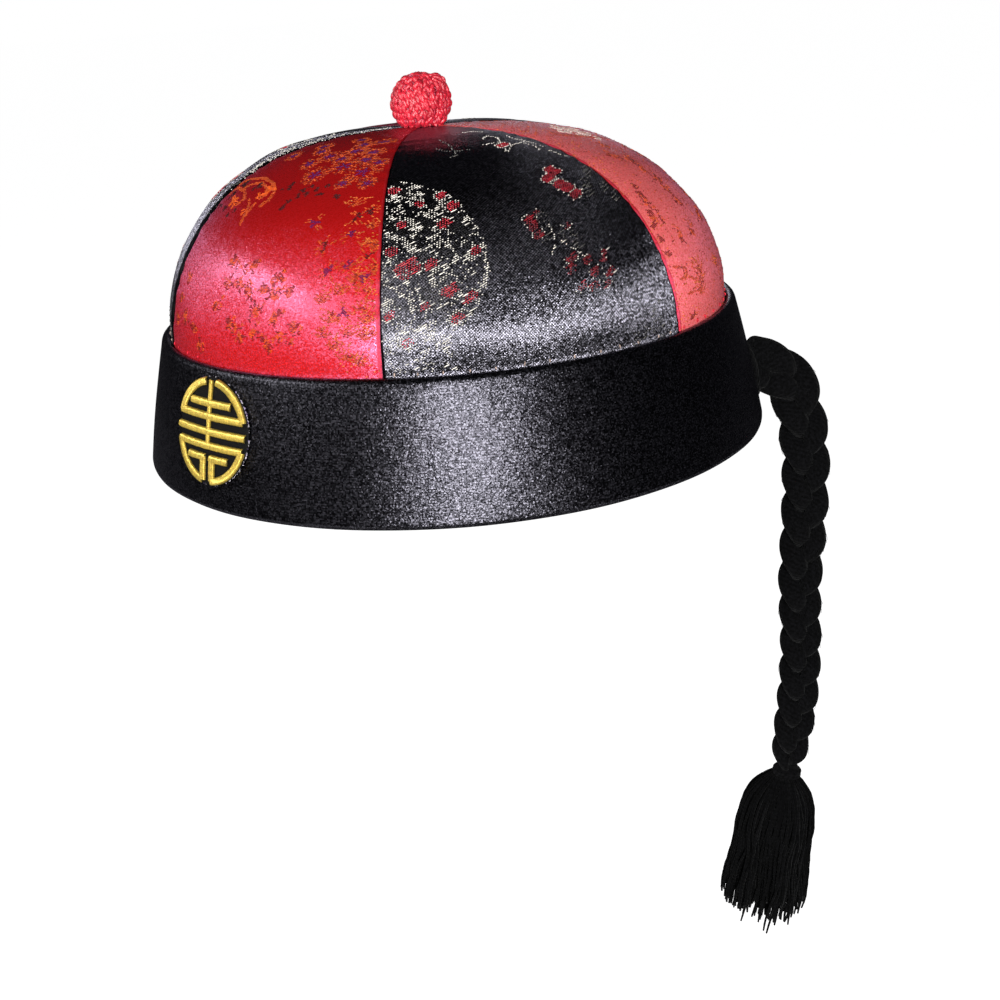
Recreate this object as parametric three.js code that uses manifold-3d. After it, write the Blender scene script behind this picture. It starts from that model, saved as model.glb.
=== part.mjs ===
// Mandarin hat: a round cap of six cloth gores in a flaring stiff band, with a knitted button
// on top, an embroidered round badge at the front and a plaited queue of yarn at the back left.
// Millimetres, +Z up. The origin is the centre of the head opening, in the plane of the rim.
// The badge faces -Y. Angles go round from the front towards the wearer's left, +X.
import * as THREE from 'three';
import { mergeVertices } from 'three/addons/utils/BufferGeometryUtils.js';
import Module from 'manifold-3d';

const wasm = await Module();
wasm.setup();

// Band: the stiff turned-up edge
const rimRadius = 98;
const bandHeight = 38.8;
const bandTaper = 8.6;
const bandBulge = 0.5;
const bandWall = 2.6;
const bandEdgeRound = 0.8;
const bandSegments = 72;

// Crown: six gores on one domed profile
const goreCount = 6;
const goreTurn = 5.2;
const crownWall = 1.8;
const crownRise = 55.4;
const crownHeightPower = 1.81;
const crownRadiusPower = 3.0;
const crownTuck = 10;
const gorePuff = 1.0;
const gorePuffStart = 12;
const apexLean = { x: -2.4, y: -2.4 };
const stemHoleRadius = 2.7;
const goreRows = 12;
const goreColumns = 8;

// Button on top
const buttonRadius = 9.1;
const buttonHeight = 16.5;
const buttonBaseRadius = 6.3;
const stemRadius = 2.2;
const stemLength = 4.5;
const buttonBumps = 8;

// Badge at the front
const badgeHeight = 22;
const badgeTurn = 1.2;
const badgeRadius = 15.1;
const badgeWiden = 1.04;
const badgeThickness = 0.8;
const goldWidth = 1.9;
const goldThickness = 1.0;
const goldStep = 2.6;

// Queue: three strands of yarn plaited flat
const queueAngle = 140;
const strandDiameter = 4.4;
const strandSides = 8;
const strandStep = 4.4;
const plaitDepth = 4.3;
const plaitEndRadius = 4.0;
const plaitEndLength = 6;
const plaitHalfWidth = { root: 7.6, top: 6.0, low: 4.9 };
const plaitRootLength = 24;
const lobePitch = { top: 15, low: 10.5 };
const rootRadius = 6.6;
const rootStretch = 1.4;
const rootLength = 3.3;
const rootHeight = 9.0;
const bindingRadius = 5.6;
const bindingLength = 3.2;
const plaitOverrun = 1.6;
const endClearRadius = 12;

// Tassel
const tasselHeadRadius = 12.4;
const tasselHeadLength = 17;
const tasselCoreRadius = 8.6;
const tasselCoreLength = 40;
const lockSides = 6;

// Small gap between pieces that touch
const gap = 0.3;

const colours = {
  redBrocade: { color: 0xc4243c, roughness: 0.5, metalness: 0 },
  blackBrocade: { color: 0x17161c, roughness: 0.42, metalness: 0 },
  blackSatin: { color: 0x141318, roughness: 0.38, metalness: 0 },
  badgeCloth: { color: 0x1b1a1f, roughness: 0.8, metalness: 0 },
  goldThread: { color: 0xd2ad38, roughness: 0.45, metalness: 0.3 },
  redKnit: { color: 0xc02a3c, roughness: 0.75, metalness: 0 },
  blackYarn: { color: 0x141516, roughness: 0.9, metalness: 0 },
};

const rad = THREE.MathUtils.degToRad;

// A point at an angle round the hat, a radius and a height
function around(angle, radius, z) {
  return new THREE.Vector3(radius * Math.sin(angle), -radius * Math.cos(angle), z);
}

// A closed body through rings of points. A fan caps a round ring, and a ladder caps a ring that
// runs out along one face of a wall and back along the other.
function loft(rings, cap) {
  const n = rings[0].length;
  const points = rings.flat();
  const faces = [];
  for (let i = 0; i + 1 < rings.length; i += 1) {
    for (let j = 0; j < n; j += 1) {
      const k = (j + 1) % n;
      const a = i * n + j;
      const b = i * n + k;
      faces.push([a, b, b + n], [a, b + n, a + n]);
    }
  }
  const last = (rings.length - 1) * n;
  if (cap === 'ladder') {
    for (let j = 0; j + 1 < n / 2; j += 1) {
      const far = n - 1 - j;
      faces.push([j, far, far - 1], [j, far - 1, j + 1]);
      faces.push([last + j, last + far - 1, last + far], [last + j, last + j + 1, last + far - 1]);
    }
  } else {
    const ends = [[0, 1], [last, -1]];
    for (const [start, way] of ends) {
      const centre = new THREE.Vector3();
      for (let j = 0; j < n; j += 1) centre.addScaledVector(points[start + j], 1 / n);
      points.push(centre);
      const c = points.length - 1;
      for (let j = 0; j < n; j += 1) {
        const here = start + j;
        const next = start + (j + 1) % n;
        faces.push(way > 0 ? [c, next, here] : [c, here, next]);
      }
    }
  }
  return body(points, faces);
}

// A mesh from points and triangles, turned so that its faces point out
function body(points, faces) {
  let volume = 0;
  const cross = new THREE.Vector3();
  for (const [a, b, c] of faces) {
    volume += points[a].dot(cross.crossVectors(points[b], points[c]));
  }
  const index = faces.flatMap(([a, b, c]) => (volume > 0 ? [a, b, c] : [a, c, b]));
  const geometry = new THREE.BufferGeometry();
  geometry.setAttribute('position', new THREE.Float32BufferAttribute(points.flatMap((p) => p.toArray()), 3));
  geometry.setIndex(index);
  return geometry;
}

function toSolid(geometry) {
  const bare = geometry.clone();
  bare.deleteAttribute('normal');
  bare.deleteAttribute('uv');
  const welded = mergeVertices(bare, 1e-4);
  return new wasm.Manifold(new wasm.Mesh({
    numProp: 3,
    vertProperties: new Float32Array(welded.attributes.position.array),
    triVerts: new Uint32Array(welded.index.array),
  }));
}
function toGeometry(solid) {
  const mesh = solid.getMesh();
  const geometry = new THREE.BufferGeometry();
  geometry.setAttribute('position', new THREE.BufferAttribute(mesh.vertProperties, 3));
  geometry.setIndex(new THREE.BufferAttribute(mesh.triVerts, 1));
  return geometry;
}

// One solid out of several that run into each other, and one with others cut away
function fuse(geometries) {
  return toGeometry(geometries.map(toSolid).reduce((sum, solid) => sum.add(solid)));
}
function trim(geometry, cutters) {
  return toGeometry(cutters.map(toSolid).reduce((left, cutter) => left.subtract(cutter), toSolid(geometry)));
}

function piece(name, geometry, look) {
  geometry.computeVertexNormals();
  const mesh = new THREE.Mesh(geometry, new THREE.MeshStandardMaterial(colours[look]));
  mesh.name = name;
  return mesh;
}

// Band, a cone wall that widens downwards, with rounded edges
const bandSlope = bandTaper / bandHeight;
function bandOuter(z) {
  return rimRadius - bandSlope * z + bandBulge * Math.sin((Math.PI * z) / bandHeight);
}
function bandInner(z) {
  return rimRadius - bandWall - bandSlope * z;
}
function makeBand() {
  const e = bandEdgeRound;
  const top = bandHeight;
  const profile = [
    [bandOuter(e), e],
    [bandOuter(top * 0.33), top * 0.33],
    [bandOuter(top * 0.67), top * 0.67],
    [bandOuter(top - e), top - e],
    [bandOuter(top) - e, top],
    [bandInner(top) + e, top],
    [bandInner(top - e), top - e],
    [bandInner(e), e],
    [bandInner(0) + e, 0],
    [bandOuter(0) - e, 0],
    [bandOuter(e), e],
  ];
  return turned(profile, bandSegments);
}

// Crown profile: a superellipse above the band, and a margin inside it along the band's slope
const crownRadius = bandInner(bandHeight) - gap - 0.05;
function crownProfile() {
  const rows = [];
  for (const z of [bandHeight - crownTuck, bandHeight]) {
    rows.push({ r: crownRadius + bandSlope * (bandHeight - z), z });
  }
  for (let i = 1; i <= goreRows; i += 1) {
    const a = (Math.PI / 2) * (i / goreRows);
    const open = stemHoleRadius / crownRadius;
    const share = i < goreRows ? Math.cos(a) ** (2 / crownRadiusPower) : open;
    const rise = i < goreRows ? Math.sin(a) ** (2 / crownHeightPower) : 1;
    rows.push({ r: crownRadius * share, z: bandHeight + crownRise * rise });
  }
  return rows.map((row, i) => {
    const before = rows[Math.max(i - 1, 0)];
    const after = rows[Math.min(i + 1, rows.length - 1)];
    const run = Math.hypot(after.r - before.r, after.z - before.z);
    return { ...row, out: (after.z - before.z) / run, up: (before.r - after.r) / run };
  });
}
function makeGore(number) {
  const middle = rad(goreTurn + (number * 360) / goreCount);
  const half = Math.PI / goreCount;
  const rings = crownProfile().map(({ r, z, out, up }) => {
    const rise = Math.max(0, z - bandHeight);
    const fill = THREE.MathUtils.smoothstep(rise, 0, gorePuffStart) * (r / crownRadius);
    const shift = (rise / crownRise) ** 4;
    const edge = half - gap / 2 / r;
    const at = (j, depth) => {
      const u = (2 * j) / goreColumns - 1;
      const puff = gorePuff * fill * (1 - Math.abs(u) ** 3) - depth;
      const point = around(middle + u * edge, r + puff * out, z + puff * up);
      return point.add(new THREE.Vector3(apexLean.x * shift, apexLean.y * shift, 0));
    };
    const columns = Array.from({ length: goreColumns + 1 }, (_, j) => j);
    return [...columns.map((j) => at(j, 0)), ...columns.reverse().map((j) => at(j, crownWall))];
  });
  return loft(rings, 'ladder');
}

// Button: a bumpy knitted ball on a narrower base, with a stem through the hole in the crown
function makeButton() {
  const h = buttonHeight;
  const profile = [
    [0, -stemLength],
    [stemRadius, -stemLength],
    [stemRadius, 0],
    [buttonBaseRadius, 0],
    [buttonBaseRadius + 1.5, h * 0.1],
    [buttonRadius * 0.97, h * 0.28],
    [buttonRadius, h * 0.46],
    [buttonRadius * 0.94, h * 0.64],
    [buttonRadius * 0.78, h * 0.8],
    [buttonRadius * 0.52, h * 0.93],
    [buttonRadius * 0.22, h * 0.99],
    [0, h],
  ];
  const geometry = turned(profile, buttonBumps * 2);
  const position = geometry.attributes.position;
  const point = new THREE.Vector3();
  for (let i = 0; i < position.count; i += 1) {
    point.fromBufferAttribute(position, i);
    const radius = Math.hypot(point.x, point.y);
    const row = Math.round((point.z / h) * 7);
    const swing = radius > stemRadius + 0.1 && point.z > 1 ? 0.035 : 0;
    const scale = 1 + swing * Math.cos(Math.atan2(point.y, point.x) * buttonBumps + row * Math.PI);
    position.setXYZ(i, point.x * scale, point.y * scale, point.z);
  }
  const base = bandHeight + crownRise + gap + 0.1;
  return geometry.translate(apexLean.x, apexLean.y, base);
}

// A point on the badge: across and up from its centre, and out from the band's face
const bandLean = Math.atan(bandSlope);
function onBand(across, up, out) {
  const z = badgeHeight + up * Math.cos(bandLean);
  const radius = bandOuter(z);
  const angle = rad(badgeTurn) + (across * badgeWiden) / radius;
  return around(angle, radius + out * Math.cos(bandLean), z + out * Math.sin(bandLean));
}

// Badge ground: a disc of cloth bent round the band, made of rings on both faces
function makeBadgeGround() {
  const sides = 32;
  const shares = [0.3, 0.65, 1];
  const ring = (share, out) => Array.from({ length: sides }, (_, j) => {
    const a = (2 * Math.PI * j) / sides;
    return onBand(badgeRadius * share * Math.cos(a), badgeRadius * share * Math.sin(a), out);
  });
  const low = shares.map((share) => ring(share, gap));
  const high = shares.map((share) => ring(share, gap + badgeThickness)).reverse();
  return loft([...low, ...high], 'fan');
}

// A raised bar of gold stitching along a path on the badge, with an arched section
function goldBar(path, height) {
  const base = 2 * gap + badgeThickness;
  const w = goldWidth / 2;
  const section = [[-w, 0], [-0.75 * w, 0.75 * height], [0, height], [0.75 * w, 0.75 * height], [w, 0]];
  const rings = path.map((here, i) => {
    const before = path[Math.max(i - 1, 0)];
    const after = path[Math.min(i + 1, path.length - 1)];
    const along = new THREE.Vector2().subVectors(after, before).normalize();
    return section.map(([side, out]) => onBand(here.x - along.y * side, here.y + along.x * side, base + out));
  });
  return loft(rings, 'fan');
}
function straight(x0, y0, x1, y1) {
  const from = new THREE.Vector2(x0, y0).multiplyScalar(badgeRadius);
  const to = new THREE.Vector2(x1, y1).multiplyScalar(badgeRadius);
  const steps = Math.max(2, Math.ceil(from.distanceTo(to) / goldStep));
  return Array.from({ length: steps + 1 }, (_, i) => from.clone().lerp(to, i / steps));
}
function arc(share, fromDegrees, toDegrees) {
  const radius = share * badgeRadius;
  const steps = Math.ceil((radius * rad(Math.abs(toDegrees - fromDegrees))) / goldStep);
  return Array.from({ length: steps + 1 }, (_, i) => {
    const a = rad(fromDegrees + ((toDegrees - fromDegrees) * i) / steps);
    return new THREE.Vector2(radius * Math.cos(a), radius * Math.sin(a));
  });
}

// Gold ornament: a tall bar, four cross bars, arcs round the edge, and two hooks below
const crossBars = [
  { up: 0.52, half: 0.55 },
  { up: 0.28, half: 0.88 },
  { up: 0.0, half: 0.94 },
  { up: -0.26, half: 0.89 },
];
function makeGold() {
  const paths = [straight(0, 0.94, 0, -0.26)];
  for (const { up, half } of crossBars) paths.push(straight(-half, up, half, up));
  for (const side of [-1, 1]) {
    const turn = (degrees) => (side > 0 ? degrees : 180 - degrees);
    paths.push(arc(0.92, turn(17.5), turn(80)));
    paths.push(arc(0.92, turn(-16), turn(-81)));
    paths.push(straight(side * 0.13, -0.9, side * 0.13, -0.47));
    paths.push(straight(side * 0.08, -0.49, side * 0.54, -0.49));
  }
  return fuse(paths.map((path, i) => goldBar(path, goldThickness + 0.02 * i)));
}

// The queue's middle line, in the upright plane through the hat's axis at queueAngle
const queueLine = [
  { out: 99.5, z: 9.5 },
  { out: 102.2, z: 9.6 },
  { out: 105.4, z: 8.8 },
  { out: 108.5, z: 6.4 },
  { out: 111.1, z: 2.4 },
  { out: 113.2, z: -3.0 },
  { out: 114.9, z: -10.0 },
  { out: 116.0, z: -18.4 },
  { out: 116.5, z: -30.0 },
  { out: 116.1, z: -46.6 },
  { out: 115.1, z: -61.4 },
  { out: 114.8, z: -76.6 },
  { out: 115.3, z: -92.2 },
  { out: 114.8, z: -108.2 },
  { out: 113.6, z: -121.6 },
  { out: 111.7, z: -134.0 },
  { out: 110.6, z: -143.4 },
];
const queueCurve = new THREE.CatmullRomCurve3(queueLine.map(({ out, z }) => around(rad(queueAngle), out, z)));
const queueLength = queueCurve.getLength();
const queueSide = new THREE.Vector3(Math.cos(rad(queueAngle)), Math.sin(rad(queueAngle)), 0);

// Plait phase: its rate follows the spacing of the lobes, and both ends meet a three-cornered set
function plaitPhase(s) {
  const { top, low } = lobePitch;
  const turns = (x) => (queueLength / (low - top)) * Math.log(1 + ((low - top) / top) * x) / 3;
  const whole = Math.round(turns(1) * 3) / 3;
  return Math.PI / 2 + 2 * Math.PI * turns(s) * (whole / turns(1));
}
class StrandCurve extends THREE.Curve {
  constructor(number) {
    super();
    this.shift = (2 * Math.PI * number) / 3;
  }

  getPoint(s, target = new THREE.Vector3()) {
    const centre = queueCurve.getPointAt(s);
    const across = new THREE.Vector3().crossVectors(queueCurve.getTangentAt(s), queueSide).normalize();
    const open = THREE.MathUtils.smoothstep((1 - s) * queueLength, 0, plaitEndLength);
    const gathered = THREE.MathUtils.smoothstep(s * queueLength, 0, plaitRootLength);
    const spread = (1 - gathered) * (plaitHalfWidth.root - plaitHalfWidth.top);
    const wide = spread + THREE.MathUtils.lerp(plaitHalfWidth.top, plaitHalfWidth.low, s);
    const phase = plaitPhase(s) + this.shift;
    const x = THREE.MathUtils.lerp(plaitEndRadius, wide, open) * Math.sin(phase);
    const y = plaitDepth * Math.sin(2 * phase);
    return target.copy(centre).addScaledVector(across, x).addScaledVector(queueSide, y);
  }
}
function makeStrand(number) {
  const round = new THREE.Shape();
  for (let i = 0; i < strandSides; i += 1) {
    const a = (2 * Math.PI * i) / strandSides;
    const x = (strandDiameter / 2) * Math.cos(a);
    const y = (strandDiameter / 2) * Math.sin(a);
    if (i === 0) round.moveTo(x, y);
    else round.lineTo(x, y);
  }
  const steps = Math.round(queueLength / strandStep);
  const extrudePath = new StrandCurve(number);
  const strand = new THREE.ExtrudeGeometry(round, { steps, extrudePath, bevelEnabled: false });
  const tieSide = placeAlong(cylinder(endClearRadius, 2 * bindingLength), tieFace, tieDirection);
  return trim(strand, [makeRoot(gap), tieSide]);
}

// Turns a shape made along +Z so that it runs from a point in a direction
function placeAlong(geometry, from, direction) {
  const turn = new THREE.Quaternion().setFromUnitVectors(new THREE.Vector3(0, 0, 1), direction);
  return geometry.applyQuaternion(turn).translate(from.x, from.y, from.z);
}
function turned(profile, segments) {
  return new THREE.LatheGeometry(profile.map(([r, z]) => new THREE.Vector2(r, z)), segments).rotateX(Math.PI / 2);
}
function cylinder(radius, length) {
  return turned([[0, 0], [radius, 0], [radius, length], [0, length]], 12);
}
function barrel(radius, length) {
  const face = radius * 0.86;
  return turned([[0, 0], [face, 0], [radius, length * 0.25], [radius, length * 0.75], [face, length], [0, length]], 20);
}
function makeRoot(spare) {
  const across = new THREE.Vector3().crossVectors(rootDirection, queueSide);
  const frame = new THREE.Matrix4().makeBasis(queueSide, across, rootDirection).setPosition(rootStart);
  return barrel(rootRadius + spare, rootLength + spare).scale(1, rootStretch, 1).applyMatrix4(frame);
}
const rootDirection = around(rad(queueAngle), Math.cos(bandLean), Math.sin(bandLean));
const rootStart = around(rad(queueAngle), bandOuter(rootHeight), rootHeight).addScaledVector(rootDirection, gap);
const tieDirection = queueCurve.getTangentAt(1);
const tieFace = queueCurve.getPointAt(1).addScaledVector(tieDirection, -plaitOverrun);
const tieStart = tieFace.clone().addScaledVector(tieDirection, gap);

// Tassel: a rounded head, a core, and locks of uneven length, all in one
const tasselTop = around(rad(queueAngle), 109.3, -145.9);
const tasselFoot = around(rad(queueAngle), 100.4, -203);
const tasselDirection = new THREE.Vector3().subVectors(tasselFoot, tasselTop).normalize();
const locks = [
  { turn: 0, length: 58, flare: 15.2 },
  { turn: 24, length: 53, flare: 14.0 },
  { turn: 49, length: 60, flare: 15.6 },
  { turn: 75, length: 55, flare: 14.4 },
  { turn: 101, length: 57, flare: 13.8 },
  { turn: 128, length: 52, flare: 15.0 },
  { turn: 154, length: 59, flare: 14.2 },
  { turn: 180, length: 56, flare: 15.4 },
  { turn: 206, length: 61, flare: 14.6 },
  { turn: 231, length: 54, flare: 13.6 },
  { turn: 257, length: 58, flare: 15.0 },
  { turn: 283, length: 52, flare: 14.0 },
  { turn: 309, length: 57, flare: 14.8 },
  { turn: 335, length: 55, flare: 14.2 },
  { turn: 15, length: 72, flare: 6.5 },
  { turn: 135, length: 56, flare: 6.0 },
  { turn: 255, length: 59, flare: 6.5 },
];
function makeLock({ turn, length, flare }) {
  const a = rad(turn);
  const line = [
    { along: 7, out: Math.min(flare, 9.2), thick: 2.6 },
    { along: 20, out: flare * 0.78, thick: 3.5 },
    { along: 38, out: flare * 0.84, thick: 3.2 },
    { along: length - 6, out: flare * 0.95, thick: 2.2 },
    { along: length, out: flare, thick: 0.7 },
  ];
  const rings = line.map(({ along, out, thick }) => Array.from({ length: lockSides }, (_, j) => {
    const b = (2 * Math.PI * j) / lockSides;
    const radial = out + thick * 0.8 * Math.cos(b);
    const side = thick * Math.sin(b);
    const x = radial * Math.cos(a) - side * Math.sin(a);
    const y = radial * Math.sin(a) + side * Math.cos(a);
    return new THREE.Vector3(x, y, along);
  }));
  return loft(rings, 'fan');
}
function makeTassel() {
  const r = tasselHeadRadius;
  const l = tasselHeadLength;
  const profile = [
    [0, 0], [bindingRadius * 0.95, 0], [r * 0.72, l * 0.14], [r * 0.94, l * 0.36], [r, l * 0.6], [r * 0.9, l],
    [tasselCoreRadius, tasselCoreLength], [0, tasselCoreLength],
  ];
  const head = turned(profile, 24);
  return placeAlong(fuse([head, ...locks.map(makeLock)]), tasselTop, tasselDirection);
}

const hat = new THREE.Group();
hat.add(piece('band', makeBand(), 'blackSatin'));
for (let i = 0; i < goreCount; i += 1) {
  const red = i % 2 === 0;
  const name = `crown_gore_${i + 1}_${red ? 'red' : 'black'}`;
  hat.add(piece(name, makeGore(i), red ? 'redBrocade' : 'blackBrocade'));
}
hat.add(piece('crown_button', makeButton(), 'redKnit'));
hat.add(piece('badge_ground', makeBadgeGround(), 'badgeCloth'));
hat.add(piece('badge_ornament', makeGold(), 'goldThread'));
hat.add(piece('queue_root', makeRoot(0), 'blackYarn'));
for (const number of [1, 2, 3]) {
  hat.add(piece(`queue_strand_${number}`, makeStrand(number), 'blackYarn'));
}
hat.add(piece('queue_binding', placeAlong(barrel(bindingRadius, bindingLength), tieStart, tieDirection), 'blackYarn'));
hat.add(piece('tassel', makeTassel(), 'blackYarn'));

export default hat;
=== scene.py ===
# Mandarin hat: a crown of six brocade gores, a knitted button, a black satin band with a gold badge,
# and a plait with a tassel. Lengths inside the shape functions are millimetres, +Z up, -Y front.
import math

import bpy
import numpy as np
from bpy.props import FloatProperty, FloatVectorProperty, IntProperty, PointerProperty
from mathutils import Matrix


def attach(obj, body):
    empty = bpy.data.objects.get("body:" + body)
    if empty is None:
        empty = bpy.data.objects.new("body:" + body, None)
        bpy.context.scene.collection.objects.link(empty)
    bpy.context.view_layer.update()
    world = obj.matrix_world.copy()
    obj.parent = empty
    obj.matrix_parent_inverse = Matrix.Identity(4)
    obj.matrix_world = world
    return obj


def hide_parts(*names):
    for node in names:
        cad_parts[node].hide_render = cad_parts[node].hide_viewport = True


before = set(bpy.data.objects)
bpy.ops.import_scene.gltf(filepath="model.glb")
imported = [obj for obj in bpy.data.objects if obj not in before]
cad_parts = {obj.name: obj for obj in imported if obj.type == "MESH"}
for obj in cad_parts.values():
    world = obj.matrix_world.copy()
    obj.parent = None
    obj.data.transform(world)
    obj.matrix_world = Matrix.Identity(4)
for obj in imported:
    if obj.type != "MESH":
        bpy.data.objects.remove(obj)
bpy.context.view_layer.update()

bl_info = {
    "name": "Mandarin hat",
    "version": (1, 0, 0),
    "blender": (4, 5, 0),
    "location": "View3D > Sidebar > Hat",
    "description": "Builds the cloth, thread and yarn of a mandarin hat on its fixed frame",
    "category": "Add Mesh",
}

MM = 0.001
TURN = 2 * np.pi
# Reflection tints of the black and the red satin
SHEEN_TINT = (0.88, 0.85, 1.0, 1)
RED_SHEEN = (0.62, 0.4, 0.76, 1)

# Sizes below repeat the frame's solids, in millimetres and degrees

# Band
RIM_RADIUS = 98.0
BAND_HEIGHT = 38.8
BAND_TAPER = 8.6
BAND_BULGE = 0.5
BAND_WALL = 2.6
BAND_SLOPE = BAND_TAPER / BAND_HEIGHT
BAND_LEAN = math.atan(BAND_SLOPE)

# Crown
CROWN_RADIUS = RIM_RADIUS - BAND_WALL - BAND_TAPER - 0.35
CROWN_RISE = 55.4
CROWN_TUCK = 10.0
HEIGHT_POWER = 1.81
RADIUS_POWER = 3.0
GORES = 6
GORE_TURN = 5.2
CROWN_WALL = 1.5
STEM_HOLE = 2.7
APEX_LEAN = np.array([-2.4, -2.4, 0.0])

# Button, badge and queue
BUTTON_BASE = BAND_HEIGHT + CROWN_RISE + 0.4
BUTTON_PROFILE = [(0, -4.4), (2.1, -4.4), (2.1, 0), (6.3, 0), (7.8, 1.65), (8.83, 4.6), (9.1, 7.6),
                  (8.55, 10.6), (7.1, 13.2), (4.7, 15.3), (2, 16.3), (0, 16.5)]
BADGE_HEIGHT = 22.0
BADGE_TURN = 1.2
BADGE_RADIUS = 15.1
BADGE_WIDEN = 1.04
QUEUE_ANGLE = 140.0
QUEUE_LINE = [(99.5, 9.5), (102.2, 9.6), (105.4, 8.8), (108.5, 6.4), (111.1, 2.4), (113.2, -3.0),
              (114.9, -10.0), (116.0, -18.4), (116.5, -30.0), (116.1, -46.6), (115.1, -61.4),
              (114.8, -76.6), (115.3, -92.2), (114.8, -108.2), (113.6, -121.6), (111.7, -134.0),
              (110.6, -143.4)]
LOBE_PITCH = (15.0, 10.5)
TASSEL_TOP = (109.3, -145.9)
TASSEL_FOOT = (100.4, -203.0)

# Threads: the button's side along its profile, half a gold bar's width, and how many there are
BUTTON_SIDE = 24.6
GOLD_HALF_WIDTH = 1.02
BUTTON_HAIRS = 700
SEAM_STITCHES = 78
BADGE_LOOSE_ENDS = 150
PLAIT_RINGS = 340


def paint(red, green, blue):
    """A colour as the eye gives it, 0 to 255, made linear for Blender."""
    return tuple(((c / 255 + 0.055) / 1.055) ** 2.4 if c > 10 else c / 255 / 12.92 for c in (red, green, blue))


def around(angle, out, height):
    """Points at an angle in degrees from the front towards +X, at a distance from the axis and a height."""
    turn = np.radians(angle)
    return np.stack(np.broadcast_arrays(out * np.sin(turn), -out * np.cos(turn), height), axis=-1)


def unit(vectors):
    return vectors / np.maximum(np.linalg.norm(vectors, axis=-1, keepdims=True), 1e-9)


def run_along(points):
    """Length along lines of points, from 0 at the first point of each."""
    steps = np.linalg.norm(np.diff(points, axis=-2), axis=-1)
    return np.concatenate([np.zeros((*steps.shape[:-1], 1)), np.cumsum(steps, axis=-1)], axis=-1)


def ways_along(way):
    """Two directions square to a hanging one, and that one, as the rows of a turn."""
    side = unit(np.cross(way, [0, 1.0, 0]))
    return np.stack([side, np.cross(way, side), way])


def smooth_step(value, low, high):
    """0 below low, 1 above high, and 3t^2 - 2t^3 between."""
    t = np.clip((value - low) / (high - low), 0, 1)
    return t * t * (3 - 2 * t)


def smooth_line(knots, count):
    """Equally spaced points on a curve through the knots: cubic pieces whose knot times grow with the
    square root of the gaps, with the slope at a knot taken from its two neighbours."""
    knots = np.asarray(knots, float)
    full = np.vstack([2 * knots[0] - knots[1], knots, 2 * knots[-1] - knots[-2]])
    time = np.concatenate([[0], np.cumsum(np.linalg.norm(np.diff(full, axis=0), axis=1) ** 0.5)])[:, None]
    before = (full[1:-1] - full[:-2]) / (time[1:-1] - time[:-2])
    after = (full[2:] - full[1:-1]) / (time[2:] - time[1:-1])
    slope = before + after - (full[2:] - full[:-2]) / (time[2:] - time[:-2])
    share = np.linspace(0, 1, 24, endpoint=False)[None, :, None]
    step = (time[2:-1] - time[1:-2])[:, None, :]
    start, end = knots[:-1, None, :], knots[1:, None, :]
    from_start, to_end = slope[:-1, None, :] * step, slope[1:, None, :] * step
    fine = ((2 * share**3 - 3 * share**2 + 1) * start + (share**3 - 2 * share**2 + share) * from_start
            + (3 * share**2 - 2 * share**3) * end + (share**3 - share**2) * to_end)
    fine = np.vstack([fine.reshape(-1, knots.shape[1]), knots[-1:]])
    run = run_along(fine)
    at = np.linspace(0, run[-1], count)
    return np.stack([np.interp(at, run, fine[:, k]) for k in range(knots.shape[1])], axis=1)


# Meshes


def grid_faces(rows, columns, close_rows=False, close_columns=False):
    """Four-cornered faces of a grid of points, row by row; a closed way joins its last line to its first."""
    i = np.arange(rows if close_rows else rows - 1)[:, None]
    j = np.arange(columns if close_columns else columns - 1)[None, :]
    below, right = (i + 1) % rows, (j + 1) % columns
    corners = [i * columns + j, i * columns + right, below * columns + right, below * columns + j]
    return np.stack(np.broadcast_arrays(*corners), axis=-1).reshape(-1, 4)


def tube_faces(rings, sides):
    """Faces of a tube of rings, and the fans that close its ends on the two points that follow them."""
    k, pole, last = np.arange(sides), np.full(sides, rings * sides), (rings - 1) * sides
    ahead = (k + 1) % sides
    fans = [np.stack([pole, ahead, k], axis=-1), np.stack([pole + 1, last + k, last + ahead], axis=-1)]
    return [grid_faces(rings, sides, False, True), np.concatenate(fans)]


def outward(points, faces):
    """Turns the faces of a closed form round where its volume, the sum of corner products, is negative."""
    volume = 0.0
    for part in faces:
        for k in range(1, part.shape[1] - 1):
            a, b, c = (points[part[:, i]] for i in (0, k, k + 1))
            volume += np.sum(a * np.cross(b, c))
    return faces if volume > 0 else [part[:, ::-1] for part in faces]


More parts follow.
